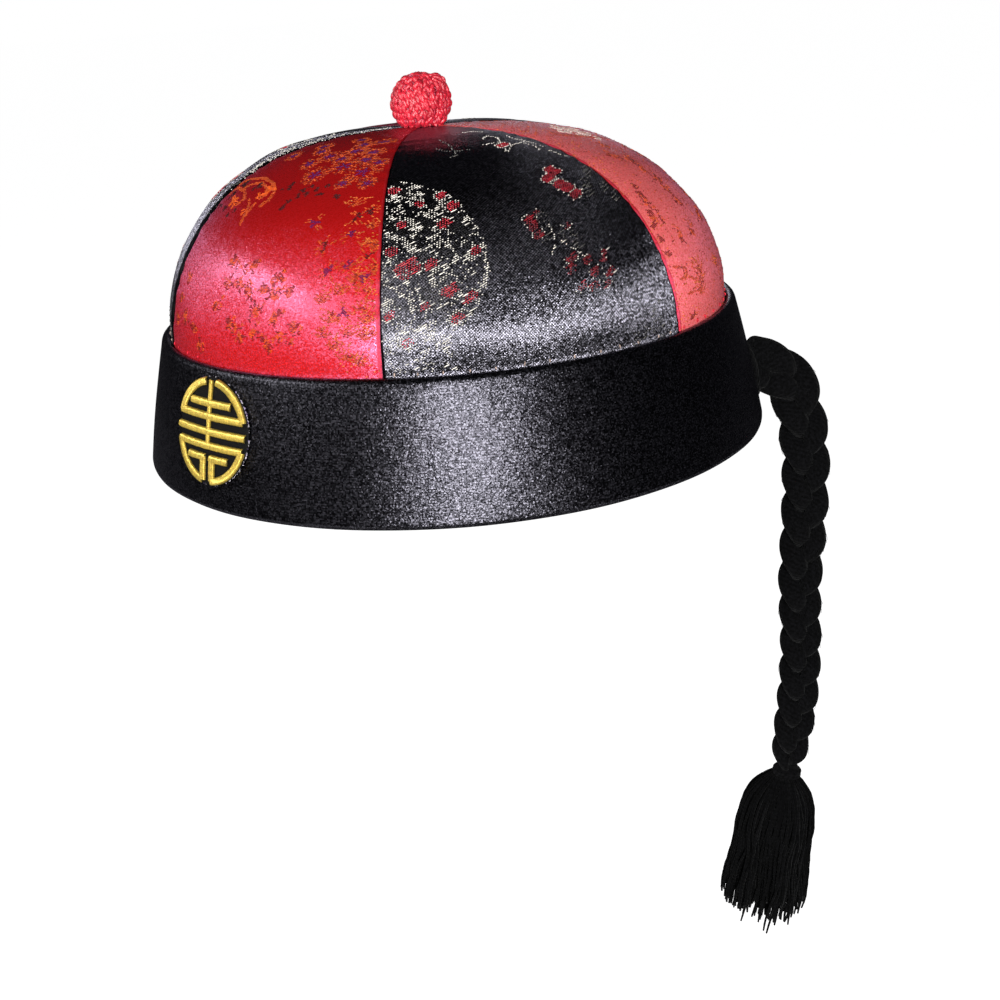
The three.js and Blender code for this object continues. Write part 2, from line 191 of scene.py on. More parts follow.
class Shell:
    """Points, faces, cloth places and dyes of one piece, gathered part by part."""

    def __init__(self):
        self.points, self.faces, self.cloth, self.dye, self.extra = [], [], [], [], []
        self.count = 0

    def add(self, points, faces, cloth=None, dye=(0, 0, 0, 0), extra=0.0):
        """Takes in a closed form, with its faces turned outwards."""
        points = np.asarray(points, float).reshape(-1, 3)
        cloth = np.zeros((len(points), 2)) if cloth is None else np.asarray(cloth, float).reshape(-1, 2)
        self.points.append(points)
        self.faces += [part + self.count for part in outward(points, faces)]
        self.cloth.append(cloth)
        self.dye.append(np.broadcast_to(dye, (len(points), 4)))
        self.extra.append(np.broadcast_to(extra, (len(points),)))
        self.count += len(points)

    def tube(self, rings, ends, across, along, dye):
        """Takes in one tube from its rings of points and its two end points. Its cloth places are across, a
        value for each side, and along, a value for each ring."""
        cloth = np.zeros((len(along) * len(across) + 2, 2))
        cloth[:-2] = np.stack(np.broadcast_arrays(across[None, :], along[:, None]), axis=-1).reshape(-1, 2)
        self.add(np.vstack([rings.reshape(-1, 3), *ends]), tube_faces(len(along), len(across)), cloth, dye)

    def threads(self, paths, radius, sides, side_axis, dyes, flat=1.0):
        """Takes in threads along many paths at once, with a dye for each. Round each point of a path lies a
        ring, radius times (cos, flat * sin) in the plane across it. Paths are (threads, points, 3)."""
        threads, count, _ = paths.shape
        along = unit(np.gradient(paths, axis=1))
        side = np.broadcast_to(side_axis, paths.shape) if np.ndim(side_axis) != 2 else side_axis[:, None, :]
        side = unit(side - along * np.sum(side * along, axis=-1, keepdims=True))
        up = np.cross(along, side)
        turn = TURN * np.arange(sides) / sides
        ring = side[:, :, None, :] * np.cos(turn)[:, None] + flat * up[:, :, None, :] * np.sin(turn)[:, None]
        rings = paths[:, :, None, :] + np.broadcast_to(radius, (threads, count))[:, :, None, None] * ring
        points = np.concatenate([rings.reshape(threads, -1, 3), paths[:, :1], paths[:, -1:]], axis=1)
        size = points.shape[1]
        first = np.arange(threads)[:, None, None] * size
        faces = [(first + part[None]).reshape(-1, part.shape[1]) for part in tube_faces(count, sides)]
        run = run_along(paths)
        cloth = np.zeros((threads, size, 2))
        cloth[:, :-2, 0] = np.tile(np.abs(np.arange(sides) / sides * 2 - 1), count)
        cloth[:, :-2, 1] = np.repeat(run, sides, axis=1)
        cloth[:, -1, 1] = run[:, -1]
        self.add(points, faces, cloth, np.repeat(dyes, size, axis=0))

    def piece(self, name, material, slot, *nodes, smooth=True):
        """Makes the mesh object, in metres, and lets it ride on the body."""
        mesh = bpy.data.meshes.new(name)
        points = np.vstack(self.points) * MM
        loops = np.concatenate([part.ravel() for part in self.faces])
        sizes = np.concatenate([np.full(len(part), part.shape[1]) for part in self.faces])
        mesh.vertices.add(len(points))
        mesh.vertices.foreach_set("co", points.ravel())
        mesh.loops.add(len(loops))
        mesh.loops.foreach_set("vertex_index", loops)
        mesh.polygons.add(len(sizes))
        mesh.polygons.foreach_set("loop_start", np.concatenate([[0], np.cumsum(sizes)[:-1]]))
        mesh.polygons.foreach_set("use_smooth", np.full(len(sizes), smooth))
        mesh.update(calc_edges=True)
        mesh.uv_layers.new(name="cloth").uv.foreach_set("vector", np.vstack(self.cloth)[loops].ravel())
        dye = mesh.attributes.new("dye", "FLOAT_COLOR", "POINT")
        dye.data.foreach_set("color", np.vstack(self.dye).ravel())
        extra = mesh.attributes.new("extra", "FLOAT", "POINT")
        extra.data.foreach_set("value", np.concatenate(self.extra))
        mesh.materials.append(material)
        mesh.use_auto_texspace = False
        mesh.texspace_location, mesh.texspace_size = (0, 0, 0), (0.1, 0.1, 0.1)
        piece = bpy.data.objects.new(name, mesh)
        bpy.context.scene.collection.objects.link(piece)
        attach(piece, "root")
        if nodes:
            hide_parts(*nodes)
        return piece


def lathe(profile, sides, place):
    """A profile of (radius, height) turned about an axis, with a point at each pole; place puts it in the hat."""
    profile = np.asarray(profile, float)
    turn = TURN * np.arange(sides) / sides
    radius, height = profile[1:-1, :1], profile[1:-1, 1:]
    rings = np.stack(np.broadcast_arrays(radius * np.cos(turn), radius * np.sin(turn), height), axis=-1)
    points = np.vstack([rings.reshape(-1, 3), [[0, 0, profile[0, 1]], [0, 0, profile[-1, 1]]]])
    return place(points), tube_faces(len(radius), sides)


# Materials


class Wire:
    """One socket in a material. Sums and products with it add Math nodes to the material."""

    def __init__(self, tree, socket=None):
        self.tree = tree
        self.socket = socket

    def node(self, kind, settings=None, sockets=None, output=0):
        """Adds a shader node: its settings first, then the values or links of its sockets; gives one output."""
        node = self.tree.nodes.new("ShaderNode" + kind)
        for name, value in (settings or {}).items():
            setattr(node, name, value)
        for name, value in (sockets or {}).items():
            if isinstance(value, Wire):
                self.tree.links.new(value.socket, node.inputs[name])
            else:
                node.inputs[name].default_value = value
        return Wire(self.tree, node.outputs[output] if node.outputs else None)

    def math(self, operation, *values):
        return self.node("Math", {"operation": operation}, dict(enumerate(values)))

    def __add__(self, other):
        return self.math("ADD", self, other)

    __radd__ = __add__

    def __mul__(self, other):
        return self.math("MULTIPLY", self, other)

    def __sub__(self, other):
        return self.math("SUBTRACT", self, other)

    def __rsub__(self, other):
        return self.math("SUBTRACT", other, self)

    def above(self, low, high):
        """0 below low, 1 above high, smooth between."""
        limits = {"Value": self, "From Min": low, "From Max": high}
        return self.node("MapRange", {"interpolation_type": "SMOOTHSTEP"}, limits)

    def wave(self, pitch):
        """Ridges across a length: (1 + cos(2 pi length / pitch)) / 2."""
        return self.math("COSINE", self * (2 * math.pi / pitch)) * 0.5 + 0.5

    def mix(self, low, high):
        """Colour low where this is 0 and high where it is 1."""
        sockets = {0: self, 6: low if isinstance(low, Wire) else (*low, 1),
                   7: high if isinstance(high, Wire) else (*high, 1)}
        return self.node("Mix", {"data_type": "RGBA"}, sockets, 2)

    def vector(self, operation, *others):
        return self.node("VectorMath", {"operation": operation}, dict(enumerate((self, *others))))

    def scaled(self, x, y=None):
        """This vector times x, or times x across and y up."""
        return self.vector("MULTIPLY", (x, x if y is None else y, x))

    def noise(self, detail=2.0, roughness=0.5):
        """Soft noise from 0 to 1 at this place, with one lump a unit."""
        return self.node("TexNoise", {}, {"Vector": self, "Scale": 1.0, "Detail": detail, "Roughness": roughness})

    def speck(self, output=0):
        """A value from 0 to 1 for each whole cell of this place, or with output 1 a vector of three."""
        cell = {"Vector": self.vector("FLOOR")}
        return self.node("TexWhiteNoise", {"noise_dimensions": "3D"}, cell, output)


class Finish:
    """A material whose nodes start from the piece's cloth places, its dye and its extra value."""

    def __init__(self, name):
        self.material = bpy.data.materials.new(name)
        self.material.use_nodes = True
        tree = self.material.node_tree
        tree.nodes.clear()
        base = Wire(tree)
        self.cloth = base.node("UVMap", {"uv_map": "cloth"})
        self.u = self.cloth.node("SeparateXYZ", {}, {0: self.cloth}, 0)
        self.v = self.cloth.node("SeparateXYZ", {}, {0: self.cloth}, 1)
        self.place = base.node("TexCoord", {}, {}, 3).scaled(1 / MM)
        self.dye = base.node("Attribute", {"attribute_name": "dye"}, {}, 0)
        self.dyed = base.node("Attribute", {"attribute_name": "dye"}, {}, 3)
        self.extra = base.node("Attribute", {"attribute_name": "extra"}, {}, 2)

    def facets(self, across, up, tip):
        """The normal, tipped at random in each small cell of the cloth, as single floats lie."""
        way = self.cloth.scaled(across, up).speck(1).vector("SUBTRACT", (0.5, 0.5, 0.5)).scaled(tip)
        return way.node("NewGeometry", {}, {}, 1).vector("ADD", way).vector("NORMALIZE")

    def weave(self, pitch):
        """Twill: 1 on a round float a cell, 0 between, in rows that slant down to the right."""
        a = (self.u * 0.78 + self.v * 0.62).wave(pitch)
        b = (self.v * 0.78 - self.u * 0.62).wave(pitch)
        return (a * b).above(0.12, 0.6)

    def shader(self, colour, roughness, height=None, normal=None, **plain):
        """A surface: heights are in millimetres, and the plain numbers go on the shader itself."""
        sockets = {"Base Color": colour, "Roughness": roughness}
        if height is not None:
            bump = {"Height": height, "Strength": 1.0, "Distance": MM}
            if normal is not None:
                bump["Normal"] = normal
            sockets["Normal"] = self.cloth.node("Bump", {}, bump)
        sockets.update({name.replace("_", " "): value for name, value in plain.items()})
        return self.cloth.node("BsdfPrincipled", {}, sockets)

    def close(self, shader):
        self.cloth.node("OutputMaterial", {}, {"Surface": shader})
        return self.material

    def surface(self, colour, roughness, height=None, normal=None, **plain):
        """Closes the material with one surface."""
        return self.close(self.shader(colour, roughness, height, normal, **plain))


def satin_grain(finish):
    """Grain of a satin from its cloth places: specks of single floats, which the satins also use to paint
    glints into their colour, and slow waves of the cloth.
    """
    specks = finish.cloth.scaled(2.3, 2.6).noise(1.0, 0.6)
    cells = finish.cloth.scaled(2.4, 2.8).speck()
    slow = finish.cloth.scaled(0.035, 0.05).noise(2.0)
    return specks, cells, slow


# Band


def band_outer(height):
    """Radius of the band's outer face: the rim's, less the taper, plus half a sine wave of bulge."""
    return RIM_RADIUS - BAND_SLOPE * height + BAND_BULGE * np.sin(np.pi * height / BAND_HEIGHT)


def band_section(columns=400):
    """The band's closed section, a stadium leaning inwards, turned about the axis: the outer face keeps
    the frame's radius plus a slow wave of a few tenths of a millimetre, and dips at the joint behind."""
    half = BAND_WALL / 2
    straight = np.linspace(half, BAND_HEIGHT - half, 30)
    bend = np.linspace(0, np.pi, 9)[1:-1]
    height = np.concatenate([straight, BAND_HEIGHT - half + half * np.sin(bend), straight[::-2],
                             half - half * np.sin(bend)])
    inset = np.concatenate([np.zeros(30), half - half * np.cos(bend), np.full(15, BAND_WALL),
                            half + half * np.cos(bend)])
    angle = np.linspace(180, 540, columns, endpoint=False)[None, :]
    turn = np.radians(angle)
    at = height[:, None]
    wave = 0.10 * np.sin(3 * turn + 1.2) + 0.07 * np.sin(7 * turn + at / 11) + 0.05 * np.sin(17 * turn - at / 7)
    from_joint = np.radians(angle - 180 - 360 * (angle > 360)) * RIM_RADIUS
    joint = 0.5 * np.exp(-(from_joint / 0.7) ** 2)
    radius = band_outer(at) - inset[:, None] + (wave - joint) * (inset < half)[:, None]
    run = run_along(np.stack([height, inset], axis=-1))
    cloth = np.stack(np.broadcast_arrays(turn * RIM_RADIUS, run[:, None]), axis=-1)
    return around(angle, radius, at + 0 * turn), [grid_faces(len(height), columns, True, True)], cloth


def make_satin(settings):
    """Black satin: a smooth ground, long fine floats round the hat and single glints, partly painted into
    its colour as lighter specks.
    """
    finish = Finish("black_satin")
    specks, cells, slow = satin_grain(finish)
    # Partly the random tone of single floats, partly painted glints: the colour is lighter in specks
    colour = specks.above(0.5, 0.72).mix(tuple(settings.satin), tuple(c * 3 + 0.004 for c in settings.satin))
    lines = finish.v.wave(0.7) * 0.35 + 0.65
    return finish.surface(
        colour, 0.31 + (slow - 0.5) * 0.06 + (cells - 0.5) * 0.12, specks * 0.06 + slow * 0.5,
        finish.facets(2.9, 3.1, 0.25), Metallic=1 - lines * (0.12 + cells * cells * 0.88), IOR=1.58,
        Specular_IOR_Level=1.0, Specular_Tint=SHEEN_TINT, Anisotropic=0.15, Anisotropic_Rotation=0.25)


# Crown


def crown_profile():
    """Radius, height, cloth length and outward slope of the crown's side: a margin down inside the band,
    then r = R cos(a)^(2/3) and z = H sin(a)^(2/1.81) for a from 0 to a right angle, up to the stem hole."""
    margin = np.linspace(-CROWN_TUCK, 0, 12, endpoint=False)
    angle = np.linspace(0, np.pi / 2, 1200)
    radius = np.concatenate([CROWN_RADIUS - BAND_SLOPE * margin,
                             CROWN_RADIUS * np.cos(angle) ** (2 / RADIUS_POWER)])
    height = BAND_HEIGHT + np.concatenate([margin, CROWN_RISE * np.sin(angle) ** (2 / HEIGHT_POWER)])
    kept = radius >= STEM_HOLE
    radius, height = np.append(radius[kept], STEM_HOLE), np.append(height[kept], BAND_HEIGHT + CROWN_RISE)
    run = run_along(np.stack([radius, height], axis=-1))
    slope = np.stack([np.gradient(height, run), -np.gradient(radius, run)], axis=-1)
    smooth = np.ones(31) / 31
    slope = np.stack([np.convolve(np.pad(slope[:, k], 15, "edge"), smooth, "valid") for k in (0, 1)], axis=-1)
    return radius, height, run - run[12], unit(slope)


PROFILE = crown_profile()


def half_width(up):
    """Half the width of a gore's cloth at a length above the band: radius times 30 degrees, up to the seam."""
    return np.interp(up, PROFILE[2], PROFILE[0]) * np.pi / GORES


def crown_surface(middle, across, up, depth=0.0):
    """A point of the crown from cloth places: across the gore round the axis, up along the side. Each gore
    puffs by 1 - |u|^3, rounds inwards at its seams, and ripples a little beside them; the top leans."""
    cone, height = (np.interp(up, PROFILE[2], PROFILE[k]) for k in (0, 1))
    out = unit(np.stack([np.interp(up, PROFILE[2], PROFILE[3][:, k]) for k in (0, 1)], axis=-1))
    edge = half_width(up)
    share = across / edge
    rise = height - BAND_HEIGHT
    puff = 0.7 * smooth_step(rise, 0, 12) * (cone / CROWN_RADIUS) * (1 - np.abs(share) ** 3)
    turned = np.minimum(0.55, 0.3 * edge)
    fold = np.clip((np.abs(across) - edge + turned) / turned, 0, 1)
    puff = puff - turned * (1 - np.sqrt(np.clip(1 - fold**2, 0, 1)))
    beside = np.exp(-(edge - np.abs(across)) / 5) * smooth_step(rise, 0, 6) * smooth_step(cone, 6, 30)
    puff = puff - 0.3 * beside * (0.5 + 0.5 * np.sin(up * 0.9 + middle + 2 * np.sin(up * 0.31)))
    slack = np.sin(across * 0.11 + middle) * np.sin(up * 0.13 + 1.3 * middle) + 0.6 * np.sin(up * 0.3 + across * 0.05)
    puff = puff + 0.22 * slack * smooth_step(rise, 0, 10) * smooth_step(cone, 10, 40) * (1 - share**2) - depth
    lean = np.clip(rise / CROWN_RISE, 0, 1)[..., None] ** 4 * APEX_LEAN
    return around(middle + np.degrees(across / cone), cone + out[..., 0] * puff, height + out[..., 1] * puff) + lean


def rods(points, radius):
    """A drawn line as rounded rods: each row is its two ends and its radius."""
    points = np.asarray(points, float)
    return np.hstack([points[:-1], points[1:], np.full((len(points) - 1, 1), radius)])


def spokes(x, y, inner, outer, angles, radius):
    """Rods from an inner to an outer radius about a point, at the angles given."""
    way = np.stack([np.cos(angles), np.sin(angles)], axis=-1)
    return np.hstack([(x, y) + inner * way, (x, y) + outer * way, np.full((len(angles), 1), radius)])


def reach(points, lines):
    """Distance from points to the nearest rod, less that rod's radius: negative inside."""
    best = np.full(len(points), 99.0)
    for x0, y0, x1, y1, radius in lines:
        line = np.array([x1 - x0, y1 - y0])
        from_start = points - (x0, y0)
        share = np.clip(from_start @ line / max(line @ line, 1e-9), 0, 1)
        best = np.minimum(best, np.hypot(*(from_start - share[:, None] * line).T) - radius)
    return best


# Brocade of the red gores, in millimetres across from a gore's middle and up from the band: (x, y, size)
RED_FLORETS = [(5.4, 60.9, 4.6), (12.4, 65.2, 4.6), (20.2, 62.2, 5.2), (3.2, 71.4, 4), (8.6, 75.8, 4),
               (14.6, 75.2, 3.6), (11.3, 84.5, 3.4), (-6.3, 78.7, 3.6), (-13.5, 70.5, 3.4), (2.5, 86, 3),
               (16.5, 69.5, 3.6), (-1.0, 66.5, 3.4), (8.3, 69.8, 3.2), (-3.2, 74.5, 3.2), (7.2, 81.5, 3.2),
               (17.6, 56.8, 2.6), (24.5, 57.0, 2.8), (21.5, 67.5, 3.0)]
RED_CURLS = [(0.55, [(-29.6, 53.9), (-22.7, 56.6), (-14.5, 58.1), (-8.1, 56.3), (-4.4, 52.7), (-4.1, 49.5),
                     (-5.8, 47.1)]),
             (0.45, [(-22.1, 52.3), (-18.3, 54.9), (-13.6, 55.9), (-9.0, 54.0), (-6.9, 51.3), (-8.4, 49.6)]),
             (0.4, [(-13.4, 49.1), (-11.2, 46.3), (-10.9, 44.1), (-10.8, 41.3)]),
             (0.4, [(-9.2, 47.6), (-10.1, 43.8), (-10.8, 40.0)]),
             (0.5, [(-30.5, 49.7), (-28.1, 52.3), (-19.7, 51.7), (-16.1, 48.9), (-18.4, 46.3)])]
RED_FILLS = [(-7.2, 53.4, 1.6), (-9.6, 50.8, 1.2), (-22.6, 47.6, 1.7), (-20.2, 46.6, 1.3), (-12.4, 44.4, 1.0)]
RED_BLOTS = [(-26.8, 49.2, 1.3), (-23.8, 54.2, 1.4), (-31.0, 45.1, 1.2), (-14.2, 54, 1.5), (-17.5, 44, 1.0),
             (-21, 42, 0.9), (-25.5, 44.5, 1.0)]
RED_FLECKS = [(0.3, 56.4, 1), (6.2, 53.6, 0.9), (0.8, 54.3, 0.8), (-1.7, 53.7, 0.8), (6.4, 51.6, 1), (8.7, 52.4, 0.9),
              (10.8, 54.5, 1), (13, 52.1, 0.9), (13.3, 56.3, 0.8), (19.2, 51.7, 1.1), (3.6, 47.3, 1.2), (4, 49.2, 0.8),
              (7.9, 55.8, 0.8)]
RED_STARS = [(17.2, 42, 1.8), (29.6, 38.1, 1.7), (27.1, 28, 1.7), (31.7, 29.7, 1.4), (37.3, 26, 1.7), (33.9, 16.8, 1.8)]
RED_KNOTS = [(23.2, 34.9, 1.8), (28.5, 43.9, 1.6), (36.2, 32.6, 1.6), (31.4, 46.1, 1.3)]
RED_SPRAYS = [(25.4, 50, 2.4), (31.6, 23.4, 2), (38.9, 19.3, 2.4), (30, 16.3, 2.2), (40.6, 12.4, 2.6), (32.3, 9.3, 2),
              (39.5, 5.4, 2.4), (38, 23.5, 1.8), (34.5, 36.5, 1.8), (34.0, 42.5, 2.2), (37.5, 36.0, 2.0),
              (39.5, 29.5, 2.2), (35, 26.5, 1.8), (40.5, 16, 2), (36, 13, 2.2), (35.5, 6.5, 2.2), (28.5, 12, 2),
              (27, 21, 1.8)]
RED_LEAVES = [(-6.1, 28.6, 2.2), (1.8, 28, 2), (-6.2, 23.4, 2.2), (-0.4, 23, 2.2), (11.6, 25.2, 2), (3.4, 21.1, 2.4),
              (7.7, 21.9, 2), (11.9, 20.5, 2.4), (16.2, 22.1, 2), (-10.8, 16.8, 2), (6.1, 16.6, 2.2), (-3.7, 11.5, 2.2),
              (13.4, 15.2, 2.4), (16.3, 10.6, 2), (0.8, 9.5, 2.4), (6.5, 10.8, 2), (-19.1, 4.3, 2.2), (-21.6, 8.1, 1.8),
              (19.8, 12.1, 2.2), (11.4, 8.5, 2), (-31, 22, 2.2), (-34, 15, 2.0), (-28, 11, 2.2), (-36.5, 8, 2.2)]
# The red gore on the right was cut from another place of the same cloth. Its lighter coral ground is painted light, and
# its pale fills are a painted highlight near its top.
PINK_LEAVES = [(-7.3, 60.3, 2.4), (-15.6, 54.5, 2.4), (-11.4, 52.3, 2.2), (-13, 47.3, 2.4), (-12.2, 42.4, 2.2),
               (-14, 34.2, 2.4), (-32.1, 36.9, 2.4), (-34.1, 31.7, 2.2), (-29.3, 24.9, 2.4), (-20.2, 24.4, 2.2),
               (-13.3, 38.4, 2), (8, 50, 2.4), (12, 42, 2.2), (5, 33, 2.2), (-3, 27, 2.4), (14, 24, 2.2), (24, 34, 2.2)]
PINK_FLECKS = [(-28.2, 42.5, 1.3), (-29.5, 39.8, 1.3), (-34.3, 33.6, 1.3), (-37.2, 29.7, 1.2), (-38, 25.6, 1.4),
               (-39.2, 21, 1.4), (-37.4, 2.6, 1.5), (18, 15, 1.4), (22, 20, 1.3), (28, 9, 1.4)]
PINK_CURLS = [(0.5, [(-10.5, 74.5), (-10.8, 71.0), (-5.3, 67.5), (0.2, 63.6)]),
              (0.5, [(4.3, 74.5), (2.5, 68.2), (3.1, 63.8), (6.2, 60.5)]),
              (0.35, [(-40.2, 17.4), (-35.2, 16.0), (-35.9, 13.7), (-39.8, 13.4)]),
              (0.35, [(-35.9, 13.7), (-32.2, 11.8), (-34.0, 9.2), (-37.9, 8.8)])]
# Pale fills near the top of the right gore: a painted highlight
PINK_PAINTED_HIGHLIGHT = [(3.8, 76.0, 2.0), (-0.3, 75.3, 1.8), (-4.5, 72.3, 1.6), (0.5, 70.8, 2.6), (4.8, 70.6, 2.4),
              (1.2, 66.8, 2.4), (-2.4, 67.9, 1.8), (0.4, 63.8, 1.6)]
PINK_BARS = [(-28, 16.4, 3), (-28.7, 13.4, 3), (-30.5, 10.2, 3), (-11.3, 14.1, 2.4), (20, 10, 3)]
# Brocade of the black gores
BLACK_PETALS = [(-29.4, 53.3, 1.9), (-17.9, 49.8, 1.5), (-16.2, 45.8, 1.8), (-20.4, 40.4, 1.9), (-36.3, 33, 1.9),
                (-33.4, 28, 3.4), (-27.3, 28.7, 1.8), (-14.8, 31.3, 1.6), (-24.1, 21.4, 2.2), (-19.2, 19.1, 1.9),
                (-23.8, 14.2, 1.8), (-41.0, 15.8, 1.6), (-37.3, 8.7, 1.6), (-31.4, 17.7, 1.4), (-31.2, 41, 1.4),
                (-24.3, 47.4, 1.3), (9, 71.8, 2.0), (15.9, 55.6, 1.7), (17.3, 54, 1.7), (13.5, 51.9, 2.0),
                (15.9, 49.1, 2.1), (17.7, 47.4, 2.0), (19.1, 44.7, 2.1), (1.7, 38.6, 1.8), (2.5, 36.3, 1.7),
                (2.8, 33.7, 1.5), (4.9, 40.5, 1.0), (12, 35.5, 1.2), (9.9, 26, 1.6), (8.9, 23.1, 1.7),
                (14.8, 25.0, 1.6), (16, 21.4, 1.6), (10.9, 18.3, 1.6), (14.8, 17.8, 1.5), (19.3, 23.9, 1.2),
                (20.7, 20.7, 1.5), (19, 17.6, 1.2), (20.7, 26.2, 1.0)]
BLACK_RIMS = [[(-25.5, 56.5), (-22.7, 54.9), (-19.7, 52.8), (-16.6, 50.4), (-14.6, 46.4), (-13.8, 42.0), (-12.8, 38.0),
               (-12.6, 33.7), (-12.8, 29.3), (-13.5, 25.5), (-15.0, 21.6), (-17.4, 17.6), (-20.2, 15.0), (-24.8, 11.2)],
              [(-29.3, 51.3), (-26.6, 49.9), (-24.0, 48.1), (-22.6, 44.7), (-22.4, 40.6), (-24.3, 36.3), (-27.6, 33.0),
               (-31.3, 32.1)],
              [(-36.8, 36.6), (-33.9, 37.6), (-31.9, 36.3), (-31.5, 33.3)],
              [(-40.7, 23.9), (-37.9, 22.5), (-35.3, 19.7), (-34.5, 16.0), (-36.2, 12.5), (-39.7, 10.1)],
              [(-22.8, 36.2), (-20.9, 33.6), (-20.4, 30.1), (-22.4, 26.4), (-25.5, 24.4)]]
BLACK_STEMS = [[(5.2, 78.5), (8.4, 81.4), (10.8, 78.2), (8.0, 70.1), (7.9, 66.4), (11.3, 71.1), (15.6, 71.9),
                (18.2, 68.6), (18.5, 65.4), (22.2, 63.8), (25.7, 60.1)],
               [(3.2, 73.7), (6.6, 74.3), (8.7, 74.5)], [(14.5, 79.1), (15.2, 75.5), (18.3, 71.4), (21.2, 67.7)],
               [(2.8, 87.6), (6.6, 88.4), (9.2, 86.0)], [(6.8, 36.6), (7.2, 33.8), (6.9, 30.9), (4.7, 27.9)],
               [(8.7, 31.7), (9.8, 29.8), (12.3, 27.9), (13.6, 26.3)]]
BLACK_SPRIG = [[(-5.9, 82.0), (-5.5, 75.6), (-6.4, 68.7), (-9.0, 66.6)],
               [(-9.9, 74.1), (-8.2, 71.3), (-4.4, 71.1), (-1.5, 71.1)]]
BLACK_DASHES = [(24.7, 48.6, 3), (23.9, 44.9, 3), (29.2, 53.2, 3), (31, 45.8, 3), (27, 51, 3), (33, 42, 3),
                (5.3, 38.8, 3), (5.6, 36.2, 3), (4.6, 33.2, 3), (9.5, 32.5, 3), (12.5, 32.2, 3), (13.5, 29.9, 3),
                (27.4, 1.9, 4), (31.3, 2.9, 4), (35.5, 3.9, 4), (39, 2.2, 4), (35.2, 8.2, 3)]


def red_threads(pink, rng):
    """Rods of the red brocade, for either cut of the cloth: orange lines, orange fills, brown marks, blue and
    black hearts, bright gold flecks, and pale fills that are a painted highlight near the top of the right gore."""
    lines, fills, marks, blues, golds, darks, painted_highlight_threads = groups = [], [], [], [], [], [], []

    def rays(group, x, y, inner, outer, angles, radius):
        """Spokes at the angles given, or at as many random ones."""
        angles = rng.uniform(0, 6.3, angles) if isinstance(angles, int) else angles
        group.append(spokes(x, y, inner, outer, angles, radius))

    for x, y, size in [] if pink else RED_FLORETS:
        turn = rng.uniform(0, 1)
        for k in range(9):
            angle = TURN * (k + turn) / 9
            rays(lines, x, y, 0.45 * size, size * rng.uniform(0.8, 1.0), np.array([angle - 0.22, angle + 0.22]), 0.08)
        rays(blues, x, y, size * 0.1, size * 0.4, TURN * (np.arange(5) + turn) / 5, 0.34)
        rays(marks, x, y, size * 0.5, size * 0.95, TURN * (np.arange(9) + turn + 0.02) / 9, 0.3)
    lines += [rods(line, width) for width, line in (PINK_CURLS if pink else RED_CURLS)]
    for x, y, size in [] if pink else RED_FILLS:
        rays(fills, x, y, 0, size, np.array([0.4, 2.5, 4.4]), size * 0.5)
    for x, y, size in PINK_PAINTED_HIGHLIGHT if pink else []:
        rays(painted_highlight_threads, x, y, 0, size * 0.8, 3, size * 0.55)
    for x, y, size in [] if pink else RED_BLOTS:
        rays(darks, x, y, 0, size, 3, size * 0.5)
    for x, y, size in PINK_FLECKS if pink else RED_FLECKS:
        rays(marks if pink else darks, x, y, 0, size * 0.8, 3, size * 0.5)
    for x, y, size in [] if pink else RED_STARS + RED_KNOTS:
        rays(blues if (x, y, size) in RED_STARS else darks, x, y, 0, size * 0.75, 4, 0.42)
        rays(lines, x, y, size * 0.8, size * 1.7, 7, 0.16)
    for x, y, size in PINK_BARS if pink else RED_SPRAYS:
        rays(lines, x, y - size, 0.4, size * 1.5, np.linspace(0.5, 2.6, 6), 0.16)
        rays(golds, x, y + size * 0.3, 0.3, size * 1.3, 4, 0.12)
        rays(marks, x, y - size * 0.4, 0.2, size * 0.8, 2, 0.2)
    for x, y, size in PINK_LEAVES if pink else RED_LEAVES:
        angles = rng.uniform(0, 6.3, 4)
        rays(fills, x, y, 0.1, size * 0.5, angles[:1], 0.95)
        rays(lines, x, y, size * 0.55, size * 0.95, angles[:2], 0.16)
        rays(marks, x, y, size * 0.5, size, angles[:3] + 0.8, 0.36)
        for _ in range(3):
            a, b = x + rng.uniform(-2.8, 2.8), y + rng.uniform(-2.4, 2.4)
            rays(marks, a, b, 0.1, size * 0.5, 2, 0.2)
            rays(fills, a + 0.9, b + 0.7, 0.0, 0.8, 1, 0.36)
    return [np.vstack(group) if group else np.zeros((0, 5)) for group in groups]


def medallion_edge(up):
    """Right edge of the black brocade's round medallion, at a length above the band."""
    rim = np.array(BLACK_RIMS[0])[::-1]
    return np.interp(up, rim[:, 1], rim[:, 0])


def black_threads(rng):
    """Rods of the black brocade: cream lines, cream clumps inside the round medallion, red petals and dim
    dashes and sprigs."""
    lines = [rods(line, 0.16) for line in BLACK_STEMS]
    dashes = [np.array([[x - size / 2, y + 1.25 * k - 0.5, x + size / 2, y + 1.25 * k + 0.5, 0.2]])
              for x, y, size in BLACK_DASHES for k in (-1, 0, 1)]
    dashes += [rods(line, 0.2) for line in BLACK_SPRIG]
    clumps = [rods(line, 0.42) for line in BLACK_RIMS]
    for y in np.arange(6, 57, 3.4):
        for x in np.arange(-half_width(y), medallion_edge(y) - 1.5, 3.6):
            a, b = x + rng.uniform(-1.2, 1.2), y + rng.uniform(-1.2, 1.2)
            if rng.random() < 0.8:
                way = rng.uniform(0.1, 1.1) + rng.integers(0, 2) * 1.2
                clumps.append(spokes(a, b, 0, rng.uniform(0.8, 2.4), np.array([way]), rng.uniform(0.35, 0.8)))
    petals = [spokes(x, y, 0, size * 0.5, np.array([0.5, 3.6]), size * 0.62) for x, y, size in BLACK_PETALS]
    return [np.vstack(group) for group in (lines, clumps, petals, dashes)]


